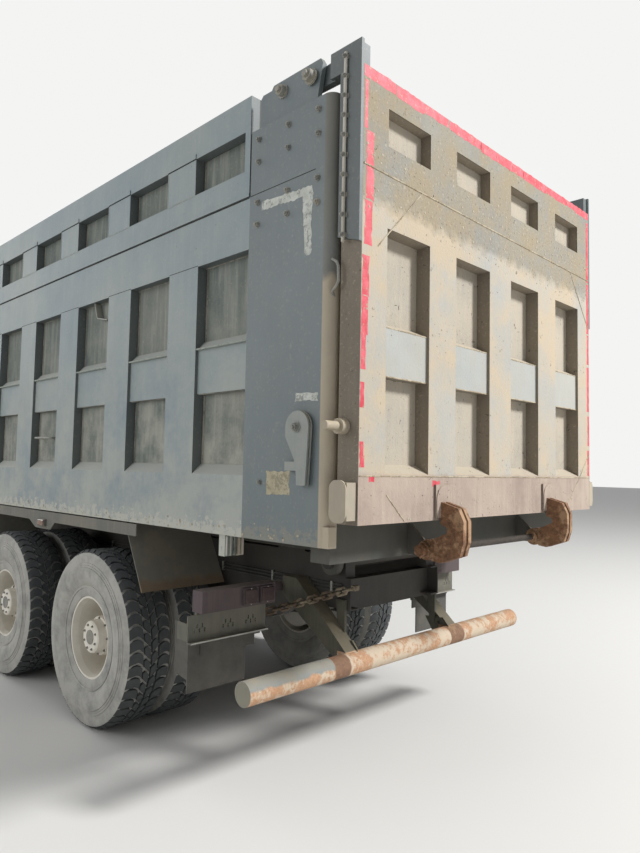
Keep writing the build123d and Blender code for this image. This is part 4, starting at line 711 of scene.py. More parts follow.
NODE_FINISH = (
    (("frame", "subframe", "bumper_irons", "underframe"), FRAME_PAINT_AND_SHADE),
    (("bumper",), CAB_PAINT),
    (("engine", "driveline"), ENGINE_IRON),
    (("fuel_tank",), TANK_ALLOY),
    (("battery_box", "cab_front", "mirrors", "dashboard"), DARK_PLASTIC),
    (("exhaust",), SILENCER),
    (("front_axles", "rear_axles", *(f"knuckle_{n}_{side}" for n in (1, 2) for side, _ in SIDES)), AXLE_IRON),
    (("springs",), SPRING_STEEL),
    (("mudguards",), GUARD_ZONES),
    (("underrun_bar",), TUBE_ZONES),
    (("rear_chain",), CHAIN_STEEL),
    (("rear_lamps",), LAMP_ZONES),
    (("cab_shell", "door_left", "door_right"), CAB_PAINT),
    (("cab_glass", "door_glass_left", "door_glass_right"), PANE),
    (("seats",), SEAT_CLOTH),
    (("bed_sides",), BED_ZONES),
    (("top_rails", "head_board"), WALLS),
    (("bed_floor",), FLOOR_ZONES),
    (("hinge_posts",), POST_ZONES),
    (("gate_arms",), ARM_PAINT),
    (("side_latches",), LATCH_PAINT),
    (("tailgate",), GATE_ZONES),
    (("gate_hooks",), HOOK_ZONES),
    (("hoist_barrel",), HOIST_PAINT),
    (tuple(f"hoist_stage_{k}" for k in range(1, 6)), CHROME),
    (tuple(f"{end}_wheel_{n}_{side}" for end in ("rear", "front") for n in (1, 2) for side, _ in SIDES),
     WHEEL_PAINT),
)

BUILT: dict[str, Material] = {}


def material_of(finish: object) -> Material:
    """Gives a finish's material, built once."""
    if finish.name not in BUILT:
        BUILT[finish.name] = finish.build()
    return BUILT[finish.name]


def piece(name: str, shape: BMesh, finishes: tuple, body: str, smooth: bool = False) -> Object:
    """Turns a bmesh into an object that rides on a CAD body.

    Args:
        name: Name of the piece.
        shape: Its bmesh, which is freed here.
        finishes: Finish of each material index in the mesh.
        body: CAD body that carries it.
        smooth: Whether curved faces are shaded smooth below the sharp angle.

    Returns:
        The new object.
    """
    mesh = bpy.data.meshes.new(name)
    shape.to_mesh(mesh)
    shape.free()
    for finish in finishes:
        mesh.materials.append(material_of(finish))
    made = bpy.data.objects.new(name, mesh)
    bpy.context.scene.collection.objects.link(made)
    if smooth:
        mesh.shade_smooth()
        mesh.set_sharp_from_angle(angle=SHARP_ANGLE)
    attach(made, body)
    log.info("%s: %d faces on %s", name, len(mesh.polygons), body)
    return made


def mark(verts: list, material: int) -> None:
    """Gives every face at these vertices a material index."""
    for face in {face for vert in verts for face in vert.link_faces}:
        face.material_index = material


def block(shape: BMesh, size: tuple, centre: tuple, turn: Matrix | None = None, bevel: float = 0.0,
          material: int = 0) -> None:
    """Adds a box to a bmesh.

    Args:
        shape: Bmesh that gets the box.
        size: Its length along X, Y and Z.
        centre: Its middle.
        turn: Rotation about its middle.
        bevel: Width of its bevelled edges, or 0.
        material: Material index of its faces.
    """
    turned = turn.to_4x4() if turn else Matrix.Identity(4)
    at = Matrix.Translation(centre) @ turned @ Matrix.Diagonal((*size, 1.0))
    verts = bmesh.ops.create_cube(shape, size=1.0, matrix=at)["verts"]
    if bevel:
        edges = list({edge for vert in verts for edge in vert.link_edges})
        faces = bmesh.ops.bevel(shape, geom=edges, offset=bevel, affect="EDGES", segments=1, profile=0.5,
                                material=-1)["faces"]
        verts = list({vert for face in faces for vert in face.verts})
    mark(verts, material)


def rod(shape: BMesh, radius: float, start: Vector, end: Vector, sides: int = 16, tip: float | None = None,
        material: int = 0) -> None:
    """Adds a round or tapered rod between two points.

    Args:
        shape: Bmesh that gets the rod.
        radius: Radius at the start.
        start: First end's middle.
        end: Other end's middle.
        sides: Sides round it.
        tip: Radius at the end, if it differs.
        material: Material index of its faces.
    """
    start, end = Vector(start), Vector(end)
    run = end - start
    at = Matrix.Translation((start + end) / 2) @ run.to_track_quat("Z", "Y").to_matrix().to_4x4()
    cone = bmesh.ops.create_cone(shape, cap_ends=True, segments=sides, radius1=radius,
                                 radius2=radius if tip is None else tip, depth=run.length, matrix=at)
    mark(cone["verts"], material)


def bolt(shape: BMesh, at: Vector, along: Vector, across: float, material: int = 0) -> None:
    """Adds a washer, a hexagon nut and the stud's end.

    Args:
        shape: Bmesh that gets the bolt.
        at: Point on the surface.
        along: Direction out of the surface.
        across: Nut's width across its corners.
        material: Material index of its faces.
    """
    at, along = Vector(at), Vector(along).normalized()
    rod(shape, across * 0.62, at - along * 0.002, at + along * across * 0.12, 14, material=material)
    rod(shape, across * 0.5, at + along * across * 0.12, at + along * across * 0.55, 6, material=material)
    rod(shape, across * 0.26, at + along * across * 0.5, at + along * across * 0.8, 10, material=material)


def plate(shape: BMesh, outline: list, normal: Vector, thickness: float, material: int = 0) -> None:
    """Adds a flat plate from its outline.

    Args:
        shape: Bmesh that gets the plate.
        outline: Corners of one face, in order.
        normal: Direction in which it is thickened.
        thickness: Its thickness.
        material: Material index of its faces.
    """
    verts = [shape.verts.new(point) for point in outline]
    raised = bmesh.ops.extrude_face_region(shape, geom=[shape.faces.new(verts)])["geom"]
    top = [item for item in raised if isinstance(item, BMVert)]
    bmesh.ops.translate(shape, vec=Vector(normal).normalized() * thickness, verts=top)
    mark(verts + top, material)
    faces = {face for vert in verts + top for face in vert.link_faces}
    bmesh.ops.recalc_face_normals(shape, faces=list(faces))


def tube(shape: BMesh, path: list, radius: float, sides: int = 8, ripple: float = 0.0,
         material: int = 0) -> None:
    """Adds a tube along a path.

    Args:
        shape: Bmesh that gets the tube.
        path: Points that it follows.
        radius: Its radius.
        sides: Sides round it.
        ripple: Share by which every second ring is thinner, as in a weld bead.
        material: Material index.
    """
    points = [Vector(point) for point in path]
    side = (points[1] - points[0]).orthogonal()
    rings = []
    for k, point in enumerate(points):
        way = (points[min(k + 1, len(points) - 1)] - points[max(k - 1, 0)]).normalized()
        side = (side - way * side.dot(way)).normalized()
        other = way.cross(side)
        reach = radius * (1.0 - ripple * (k % 2))
        rings.append([shape.verts.new(point + (side * c + other * s) * reach) for c, s in circle(1.0, sides)])
    faces = [shape.faces.new(rings[0][::-1]), shape.faces.new(rings[-1])]
    for low, high in zip(rings, rings[1:]):
        for i, j in zip(range(sides), [*range(1, sides), 0]):
            faces.append(shape.faces.new((low[i], low[j], high[j], high[i])))
    for made in faces:
        made.material_index = material


def weld(shape: BMesh, start: Vector, end: Vector, width: float, chance: random.Random,
         material: int = 0) -> None:
    """Adds a hand-laid weld bead.

    Args:
        shape: Bmesh that gets the bead.
        start: Its start.
        end: Its end.
        width: Its width.
        chance: Source of its unevenness.
        material: Material index.
    """
    start, end = Vector(start), Vector(end)
    count = max(4, round((end - start).length / (width * 0.5)))
    drift = (end - start).orthogonal().normalized()
    path = [start.lerp(end, k / count) + drift * chance.uniform(-0.12, 0.12) * width for k in range(count + 1)]
    tube(shape, path, width / 2, 6, 0.22, material)


@dataclass(frozen=True)
class Face:
    """A flat face that marks, welds and bolts sit on."""

    origin: tuple
    across: tuple
    out: tuple

    def at(self, u: float, v: float, lift: float = 0.0) -> Vector:
        """Gives the point a way along the face, at a height and off the face."""
        return Vector(self.origin) + Vector(self.across) * u + Vector((0.0, 0.0, v)) + Vector(self.out) * lift

    def sheet(self, shape: BMesh, outline: list, sunk: float, proud: float, material: int = 0) -> None:
        """Adds a plate on the face.

        Args:
            shape: Bmesh that gets the plate.
            outline: Corners along the face and up.
            sunk: How deep it starts in the face.
            proud: Its thickness.
            material: Material index.
        """
        plate(shape, [self.at(u, v, -sunk) for u, v in outline], Vector(self.out), proud, material)

    def torn(self, shape: BMesh, outline: list, chance: random.Random, wobble: float = 0.004,
             step: float = 0.02, lift: float = 0.0004, material: int = 0) -> None:
        """Adds a thin film with torn edges.

        Args:
            shape: Bmesh that gets the film.
            outline: Corners along the face and up.
            chance: Source of the tears.
            wobble: Depth of the tears.
            step: Length between them.
            lift: Thickness of the film.
            material: Material index.
        """
        rim = []
        for (u0, v0), (u1, v1) in zip(outline, outline[1:] + outline[:1]):
            length = math.hypot(u1 - u0, v1 - v0)
            count = max(1, round(length / step))
            for k in range(count):
                share = k / count
                inward = chance.random() ** 2 * wobble * (0 if k == 0 else 1)
                rim.append((u0 + (u1 - u0) * share - (v1 - v0) / length * inward,
                            v0 + (v1 - v0) * share + (u1 - u0) / length * inward))
        self.sheet(shape, rim, 0.0002, lift + 0.0002, material)


def clod(chance: random.Random, u: float, v: float, size: float) -> list:
    """Outline of a dried splash: seven corners at uneven distances."""
    return [(u + x * chance.uniform(0.6, 1.3), v + y * chance.uniform(0.5, 1.1)) for x, y in circle(size, 7)]


SIDE_FACES = {side: Face((BED_REAR, sign * 1.210, 0.0), (1.0, 0.0, 0.0), (0.0, sign, 0.0))
              for side, sign in SIDES}
GATE_FACE = Face((-5.099, 0.0, 0.0), (0.0, 1.0, 0.0), (-1.0, 0.0, 0.0))


@dataclass
class Tyre:
    """Radial truck tyre: a moulded carcass with arched shoulder blocks and a zigzag middle."""

    radius: float = AXLE_Z
    half_width: float = 0.1575
    tread_depth: float = 0.017
    pitches: int = 46
    steps: int = 92
    arch: tuple = ((0.052, 0.02), (0.066, 0.20), (0.088, 0.32), (0.112, 0.28), (0.136, 0.06),
                   (0.138, -0.74), (0.112, -0.50), (0.088, -0.46), (0.066, -0.58), (0.050, -0.78))
    rib: tuple = ((0.004, 0.30), (0.030, 0.62), (0.047, 0.44), (0.043, -0.02), (0.026, -0.24), (0.006, -0.50))

    def wall_outline(self) -> list[tuple[float, float]]:
        """Works out the section of the carcass.

        Returns:
            Offsets from its middle and radii, from one bead to the other.
        """
        base = self.radius - self.tread_depth
        half = [(0.108, 0.260), (0.1262, 0.2605), (0.1285, 0.264), (0.1292, 0.290), (0.1300, 0.314),
                (0.1355, 0.316), (0.1355, 0.329), (0.1310, 0.331), (0.1390, 0.345), (0.151, 0.365),
                (self.half_width, 0.405), (0.1565, 0.445), (0.1510, 0.447), (0.1510, 0.459), (0.1475, 0.461),
                (0.1475, 0.475), (0.1435, 0.477), (0.1435, 0.497), (0.140, 0.522), (0.136, base - 0.004),
                (0.124, base)]
        return half + [(-a, r) for a, r in reversed(half)]

    def carcass(self, shape: BMesh, centre: Vector) -> None:
        """Spins the carcass round the axle.

        Args:
            shape: Bmesh that gets it.
            centre: The tyre's middle.
        """
        verts = [shape.verts.new((centre.x, centre.y + a, centre.z + r)) for a, r in self.wall_outline()]
        edges = [shape.edges.new((a, b)) for a, b in zip(verts, verts[1:] + verts[:1])]
        bmesh.ops.spin(shape, geom=verts + edges, cent=centre, axis=(0, 1, 0), dvec=(0, 0, 0), angle=math.tau,
                       steps=self.steps, use_merge=True)

    def block_outlines(self) -> list[list[tuple[float, float]]]:
        """Outlines of the blocks in one pitch: across the tread, and along it in pitches."""
        return [[(side * a, c + shift) for a, c in outline] for side, start in ((1, 0.0), (-1, 0.5))
                for outline, shift in ((self.arch, start), (self.rib, start + 0.12))]

    def tread(self, shape: BMesh, centre: Vector, phase: float) -> None:
        """Sets the tread blocks round the carcass.

        Args:
            shape: Bmesh that gets them.
            centre: The tyre's middle.
            phase: Turn of the pattern, in pitches.
        """
        step = math.tau / self.pitches
        base = self.radius - self.tread_depth - 0.002
        for outline in self.block_outlines():
            middle = sum(a for a, _ in outline) / len(outline)
            foot, top = [], []
            for a, c in outline:
                angle = (c * 0.97 + phase) * step
                shoulder = max(0.0, abs(a) - 0.118) * 0.9
                for ring, height, pull in ((foot, base, 1.0), (top, self.radius - shoulder, 0.94)):
                    across = middle + (a - middle) * pull
                    ring.append(shape.verts.new((centre.x + height * math.sin(angle), centre.y + across,
                                                 centre.z + height * math.cos(angle))))
            faces = [shape.faces.new(top)]
            for i in range(len(top)):
                j = (i + 1) % len(top)
                faces.append(shape.faces.new((foot[i], foot[j], top[j], top[i])))
            bmesh.ops.recalc_face_normals(shape, faces=faces)
            mark(foot + top, 1)
            geometry = faces + foot + top + list({edge for face in faces for edge in face.edges})
            bmesh.ops.spin(shape, geom=geometry, cent=centre, axis=(0, 1, 0), dvec=(0, 0, 0),
                           angle=math.tau - step, steps=self.pitches - 1, use_duplicate=True)


@dataclass
class TyreSet:
    """All twelve tyres, one piece for each CAD node that it replaces."""

    tyre: Tyre
    outer_y: float = 1.0925
    spacing: float = 0.350
    front_y: float = 1.030

    def build(self) -> None:
        """Builds the tyres of every axle."""
        twins = (self.outer_y, self.outer_y - self.spacing)
        for side, sign in SIDES:
            for number, x in REAR_AXLES:
                self.dress(f"rear_tyres_{number}_{side}", f"rear_wheels_{number}_{side}", x,
                           [sign * y for y in twins], 0.3 * number)
            for number, x in FRONT_AXLES:
                self.dress(f"front_tyre_{number}_{side}", f"front_wheel_{number}_{side}", x,
                           [sign * self.front_y], 0.45 * number)

    def dress(self, node: str, body: str, x: float, places: list, phase: float) -> None:
        """Builds the tyres of one wheel body.

        Args:
            node: CAD node that they replace.
            body: Body that carries them.
            x: The axle's place.
            places: Middle of each tyre along Y.
            phase: Turn of the tread, in pitches.
        """
        shape = bmesh.new()
        centres = [Vector((x, y, self.tyre.radius)) for y in places]
        for centre in centres:
            self.tyre.carcass(shape, centre)
        bmesh.ops.recalc_face_normals(shape, faces=shape.faces[:])
        for k, centre in enumerate(centres):
            self.tyre.tread(shape, centre, phase + 0.37 * k)
        made = piece(f"{node}_moulded", shape, (WALL_RUBBER, TREAD_RUBBER), body, smooth=True)
        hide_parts(node)


@dataclass
class BedDetails:
    """Bolts, welds, handles and marks on one side and post of the bed."""

    side: str
    seed: int
    cells: int = 9
    pitch: float = 0.726
    post_bolts: tuple = tuple((u, v) for u in (0.040, 0.244, 0.463) for v in (3.322, 3.208, 2.998, 2.885))
    ear_bolts: tuple = ((0.105, 3.505, -0.008, 0.062), (0.312, 3.520, -0.020, 0.056))
    latch_bolts: tuple = ((0.110, 1.860, 0.040, 0.034), (0.396, 1.606, 0.0, 0.022))

    def build(self) -> None:
        """Builds all of it."""
        self.face, self.chance = SIDE_FACES[self.side], random.Random(self.seed)
        self.fasteners()
        self.welds()
        self.joints()
        self.handles()
        self.marks()

    def fasteners(self) -> None:
        """Adds the post's bolts, the ear's large bolts and the latch's cotters."""
        shape = bmesh.new()
        for u, v in self.post_bolts:
            bolt(shape, self.face.at(u, v), self.face.out, 0.026)
        for u, v, lift, across in self.ear_bolts + self.latch_bolts:
            bolt(shape, self.face.at(u, v, lift), self.face.out, across)
        made = piece(f"post_bolts_{self.side}", shape, (BOLT_DULL,), "bed")

    def welds(self) -> None:
        """Adds the weld beads round every cell's panels and rails."""
        beads = ((0.0, 2.774, 0.44, 2.774, -0.058, 0.010), (0.002, 2.068, 0.438, 2.068, -0.030, 0.008),
                 (0.002, 2.318, 0.438, 2.318, -0.030, 0.008), (0.426, 1.700, 0.426, 2.060, -0.059, 0.007),
                 (0.426, 2.368, 0.426, 2.768, -0.059, 0.007), (0.476, 3.195, 0.476, 3.400, -0.059, 0.007))
        shape = bmesh.new()
        for k in range(self.cells):
            u = 0.527 + self.pitch * k
            for u0, v0, u1, v1, lift, width in beads:
                weld(shape, self.face.at(u + u0, v0, lift), self.face.at(u + u1, v1, lift), width, self.chance)
        made = piece(f"side_welds_{self.side}", shape, (WELD_STEEL,), "bed", smooth=True)

    def joints(self) -> None:
        """Adds the raised frame's lip, painted shadow in its joint, at the ribs' butt joints and at the piers'
        tops, painted highlights on the piers' feet and edges, and dust on the mid rails.
        """
        # Material 1 strips are painted shadow; material 2 strips on the piers are painted highlight, those in
        # the cells' mid rails are dust.
        strips = [(0.530, 3.048, 7.245, 3.066, 0.0060, 0), (0.530, 3.038, 7.245, 3.047, 0.0008, 1),
                  (0.055, 3.0425, 0.524, 3.0465, 0.0008, 1), (0.5235, 3.050, 0.5275, 3.375, 0.0008, 1)]
        per_rib = ((0.0, 2.777, 0.286, 2.7805, 0.0008, 1), (0.050, 3.3965, 0.336, 3.4015, 0.0008, 1),
                   (0.050, 3.402, 0.336, 3.428, 0.0045, 0), (0.052, 3.188, 0.334, 3.1925, 0.0016, 2),
                   (0.330, 3.193, 0.3345, 3.394, 0.0016, 2))
        for k in range(self.cells - 1):
            u = 0.967 + self.pitch * k
            strips += [(u + u0, v0, u + u1, v1, proud, material) for u0, v0, u1, v1, proud, material in per_rib]
        for k in range(self.cells):
            u = 0.529 + self.pitch * k
            strips.append((u, 2.309, u + 0.436, 2.3175, -0.0160, 2))
        shape = bmesh.new()
        for u0, v0, u1, v1, proud, material in strips:
            self.face.sheet(shape, [(u0, v0), (u1, v0), (u1, v1), (u0, v1)], 0.0003, proud, material)
        made = piece(f"frame_joints_{self.side}", shape, (BED_PAINT, GAP_SHADE, RAIL_DUST_AND_HIGHLIGHT), "bed")

    def handles(self) -> None:
        """Adds the bent-bar grips welded into two cells and the rope hooks."""
        grip = ((3.062, 1.867, -0.062), (3.062, 1.867, -0.006), (3.052, 1.867, 0.004), (2.800, 1.862, 0.004),
                (2.790, 1.862, -0.006), (2.790, 1.862, -0.062))
        loop = ((-0.040, 2.620, -0.040), (-0.050, 2.606, -0.014), (-0.078, 2.588, -0.012),
                (-0.088, 2.566, -0.012), (-0.090, 2.500, -0.012), (-0.076, 2.478, -0.012),
                (-0.050, 2.462, -0.014), (-0.040, 2.440, -0.040))
        shape = bmesh.new()
        for (u0, v0), (u1, v1) in (((2.205, 2.772), (2.160, 2.662)), ((2.164, 2.664), (2.020, 2.634))):
            lean = Matrix.Rotation(-math.atan2(v1 - v0, u1 - u0), 3, "Y")
            block(shape, (math.hypot(u1 - u0, v1 - v0), 0.046, 0.008),
                  self.face.at((u0 + u1) / 2, (v0 + v1) / 2, -0.036), lean, 0.002)
        for path, radius, sides in ((grip, 0.009, 10), (loop, 0.007, 8)):
            tube(shape, [self.face.at(*point) for point in path], radius, sides, material=1)
        made = piece(f"cell_handles_{self.side}", shape, (LATCH_PAINT, BOLT_DULL), "bed", smooth=True)

    def marks(self) -> None:
        """Adds clay splashes along the foot, and on the left the torn film and aged label of the photo."""
        films = (([(0.431, 2.950), (0.300, 2.948), (0.180, 2.938), (0.138, 2.940), (0.114, 2.656),
                   (0.074, 2.657), (0.080, 2.800), (0.069, 2.912), (0.076, 2.975), (0.150, 2.974),
                   (0.290, 2.984), (0.431, 2.992)], 0),
                 ([(0.010, 1.976), (0.161, 1.980), (0.158, 2.022), (0.012, 2.014)], 0),
                 ([(0.183, 1.553), (0.348, 1.548), (0.352, 1.662), (0.186, 1.664)], 1))
        shape = bmesh.new()
        for outline, material in films if self.side == "left" else ():
            self.face.torn(shape, outline, self.chance, 0.007, 0.014, material=material)
        for _ in range(220):
            u, v = self.chance.uniform(0.1, 7.1), 1.337 + abs(self.chance.gauss(0.0, 0.035))
            splash = clod(self.chance, u, v, self.chance.uniform(0.002, 0.009))
            self.face.torn(shape, splash, self.chance, 0.0, 1.0, 0.0012, 2)
        made = piece(f"side_marks_{self.side}", shape, (WHITE_FILM, AGED_FILM, CLAY), "bed")


@dataclass
class GateDetails:
    """Marking stripe, welds, rods and clay on the tailgate."""

    seed: int = 11
    half: float = 1.170
    top: float = 3.456
    shaft: tuple = (-5.030, 1.290)
    rod_x: float = -5.012
    cell_ys: tuple = (-0.834, -0.278, 0.278, 0.834)
    ledges: tuple = (1.448, 1.660, 2.330, 2.800, 2.880, 3.015, 3.040)
    seams: tuple = (((1.166, 3.010), (-1.166, 2.988), 0.010), ((0.741, 3.002), (1.063, 2.665), 0.008),
                    ((-0.885, 2.986), (-1.160, 2.650), 0.008), ((0.984, 1.566), (0.853, 1.446), 0.008),
                    ((-1.160, 1.800), (-0.812, 1.446), 0.008), ((1.166, 1.648), (-1.166, 1.648), 0.007))
    bits: tuple = ((1.152, 3.390, 0.024, 0.22), (1.122, 3.165, 0.054, 0.31), (1.130, 2.852, 0.054, 0.20),
                   (1.143, 2.605, 0.050, 0.18), (1.146, 2.425, 0.045, 0.17), (1.151, 2.255, 0.034, 0.15),
                   (1.155, 2.050, 0.028, 0.11), (1.154, 1.795, 0.026, 0.06), (1.150, 1.735, 0.034, 0.05),
                   (1.084, 1.648, 0.036, 0.026), (0.605, 1.630, 0.060, 0.030), (0.570, 1.606, 0.034, 0.020),
                   (-1.150, 3.390, 0.036, 0.42), (-1.151, 2.960, 0.034, 0.34), (-1.153, 2.610, 0.030, 0.20),
                   (-1.152, 2.390, 0.034, 0.30), (-1.155, 2.060, 0.026, 0.20), (-1.152, 1.830, 0.030, 0.17))

    def build(self) -> None:
        """Builds all of it."""
        self.chance = random.Random(self.seed)
        self.stripe()
        self.welds()
        self.rods()
        self.hook_nuts()
        self.spatter()

    def stripe(self) -> None:
        """Adds the peeling stripe along the top edge and in pieces down both sides."""
        shape = bmesh.new()
        y = self.half
        while y > -self.half + 0.05:
            run = min(self.chance.uniform(0.12, 0.34), y + self.half)
            depth = 0.052 + self.chance.uniform(-0.008, 0.006) - 0.012 * (self.half - y) / 2.3
            foot = self.top - depth
            GATE_FACE.torn(shape, [(y, foot), (y - run, foot), (y - run, self.top), (y, self.top)], self.chance,
                           0.006, 0.022)
            y -= run + (self.chance.uniform(0.004, 0.012) if self.chance.random() < 0.3 else 0.0)
        for y, high, width, length in self.bits:
            near, far, foot = y - width / 2, y + width / 2, high - length
            GATE_FACE.torn(shape, [(near, foot), (far, foot), (far, high), (near, high)], self.chance,
                           width * 0.16, 0.024)
        made = piece("gate_stripe", shape, (RED_FILM,), "tailgate")

    def welds(self) -> None:
        """Adds the long seam, the corner gussets' seams, the beads round the cells and the arched foot pads."""
        shape = bmesh.new()
        for start, end, width in self.seams:
            weld(shape, GATE_FACE.at(*start), GATE_FACE.at(*end), width, self.chance)
        for y in self.cell_ys:
            for z in (2.094, 2.317):
                ends = [GATE_FACE.at(y + way, z, -0.016) for way in (-0.160, 0.160)]
                weld(shape, *ends, 0.008, self.chance)
        for y in (-0.55, 0.55):
            arch = [(y + u, 1.541 + v) for u, v in circle(0.066, 24)[:13]]
            GATE_FACE.sheet(shape, [(y + 0.066, 1.453), *arch, (y - 0.066, 1.453)], -0.0118, 0.004, 1)
        made = piece("gate_welds", shape, (GATE_WELD, GATE_FOOT), "tailgate", smooth=True)

    def rods(self) -> None:
        """Adds the sealing rod with its row of small bolts on each side plate."""
        for side, sign in SIDES:
            shape = bmesh.new()
            rod(shape, 0.008, (self.rod_x, sign * 1.199, 2.668), (self.rod_x, sign * 1.199, 3.530), 10)
            for k in range(10):
                z = 2.700 + 0.090 * k
                block(shape, (0.030, 0.004, 0.020), (self.rod_x, sign * 1.192, z), material=1)
                bolt(shape, (self.rod_x, sign * 1.206, z), (0, sign, 0), 0.018, material=1)
            made = piece(f"seal_rod_{side}", shape, (WHITE_ROD, BOLT_DULL), "tailgate", smooth=True)

    def hook_nuts(self) -> None:
        """Adds the nuts, washers and cotters on the hooks' shaft."""
        x, z = self.shaft
        shape = bmesh.new()
        for _, sign in SIDES:
            for radius, near, far, sides in ((0.034, 0.6085, 0.6165, 20), (0.034, 0.4915, 0.4835, 20),
                                             (0.031, 0.618, 0.644, 6)):
                rod(shape, radius, (x, sign * near, z), (x, sign * far, z), sides)
            rod(shape, 0.003, (x, sign * 0.632, z - 0.038), (x, sign * 0.632, z + 0.038), 6)
        made = piece("hook_shaft_nuts", shape, (HOOK_RUST,), "gate_hooks")

    def spatter(self) -> None:
        """Adds caked clay along the ledges and the bottom beam."""
        shape = bmesh.new()
        for _ in range(420):
            y, size = self.chance.uniform(-1.15, 1.15), self.chance.uniform(0.002, 0.008)
            z = self.chance.choice(self.ledges) + abs(self.chance.gauss(0.0, 0.05))
            in_cell = abs(abs(y) % 0.556 - 0.278) < 0.17 and 1.65 < z < 2.77
            if z <= self.top - 0.01 and not in_cell:
                GATE_FACE.torn(shape, clod(self.chance, y, z, size)[::-1], self.chance, 0.0, 1.0, 0.0014)
        made = piece("gate_clay", shape, (CLAY,), "tailgate")


@dataclass
class WheelDetails:
    """Wheel nuts, hub bolts, grease caps and valves of every wheel."""

    nuts: int = 10

    def build(self) -> None:
        """Builds one piece a wheel."""
        for side, sign in SIDES:
            for number, x in REAR_AXLES:
                self.wheel(f"rear_{number}_{side}", f"rear_wheels_{number}_{side}", x, sign, 0.9415, 0.1525)
            for number, x in FRONT_AXLES:
                self.wheel(f"front_{number}_{side}", f"front_wheel_{number}_{side}", x, sign, 1.205, 0.1740)

    def wheel(self, name: str, body: str, x: float, sign: float, flange_y: float, round_nuts: float) -> None:
        """Builds the fasteners of one wheel.

        Args:
            name: Name of the wheel, whose first word is its axle's kind.
            body: Body that carries them.
            x: Place of the axle.
            sign: Side of the truck.
            flange_y: Where the nuts sit.
            round_nuts: Radius of the nuts' circle.
        """
        rear = name.startswith("rear")
        rings = [(self.nuts, round_nuts, flange_y, 0.034, 0.25)]
        rings += [(8, 0.1148, 1.1465, 0.0135, 0.0), (8, 0.078, 1.2085, 0.014, 0.5)] if rear else [
            (8, 0.064, 1.2405, 0.012, 0.0)]
        shape = bmesh.new()
        for count, radius, y, across, phase in rings:
            for turn in (math.tau * (k + phase) / count for k in range(count)):
                bolt(shape, (x + radius * math.cos(turn), sign * y, AXLE_Z + radius * math.sin(turn)),
                     (0, sign, 0), across)
        if rear:
            rod(shape, 0.046, (x, sign * 1.2080, AXLE_Z), (x, sign * 1.2125, AXLE_Z), 28)
        valve = ((0.235, -0.01), (0.228, 0.02), (0.212, 0.045))
        tube(shape, [(x + ahead, sign * (flange_y + out), AXLE_Z) for ahead, out in valve], 0.005, 8)
        made = piece(f"wheel_nuts_{name}", shape, (BOLT_DULL,), body)


@dataclass
class Underside:
    """Lamps, reflectors, clips and air lines below the bed."""

    lamp_x: float = BED_REAR + 0.840
    lamp_z: float = 0.9625
    pipe_y: float = 0.4360

    def build(self) -> None:
        """Builds all of it."""
        self.lamps()
        self.lines()
        self.tank_straps()

    def lamps(self) -> None:
        """Adds lenses on the rear channel and on the side markers, and the plates' worn bare lips."""
        for side, sign in SIDES:
            shape = bmesh.new()
            for y in (0.770, 0.890):
                block(shape, (0.008, 0.088, 0.078), (self.lamp_x - 0.0198, sign * y, self.lamp_z), bevel=0.003)
                for z in (self.lamp_z - 0.042, self.lamp_z + 0.042):
                    ends = [(self.lamp_x - back, sign * y, z) for back in (0.016, 0.0185)]
                    rod(shape, 0.003, *ends, 8, material=2)
            block(shape, (0.096, 0.006, 0.040), (-2.040, sign * 1.2288, 1.240), bevel=0.002, material=1)
            block(shape, (0.0015, 0.532, 0.008), (self.lamp_x + 0.0532, sign * 0.9675, 0.7452), material=2)
            made = piece(f"tail_lamps_{side}", shape, (RED_LENS, AMBER_LENS, ZINC), "chassis")

    def lines(self) -> None:
        """Adds the air pipes clipped along each rail."""
        sag = ((-4.34, 0.0), (-2.6, 0.002), (-0.6, 0.0), (1.2, -0.001), (2.9, 0.0))
        for side, sign in SIDES:
            shape = bmesh.new()
            for z in (1.012, 0.992, 0.972):
                tube(shape, [(x, sign * self.pipe_y, z + rise) for x, rise in sag], 0.006, 8)
            for k in range(14):
                block(shape, (0.016, 0.014, 0.062), (-4.26 + 0.52 * k, sign * 0.4366, 0.992), material=1)
            made = piece(f"air_pipes_{side}", shape, (SEAL_RUBBER, ZINC), "chassis", smooth=True)

    def tank_straps(self) -> None:
        """Adds the strap bolts and the filler cap's grip on the fuel tank."""
        shape = bmesh.new()
        for x in (0.150, 0.750):
            for z in (0.960, 0.560):
                bolt(shape, (x, 1.117, z), (0, 1, 0), 0.030)
        for ahead, aside in circle(0.045, 12):
            block(shape, (0.008, 0.008, 0.030), (0.425 + ahead, 0.960 + aside, 1.058))
        made = piece("tank_fasteners", shape, (ZINC,), "chassis")


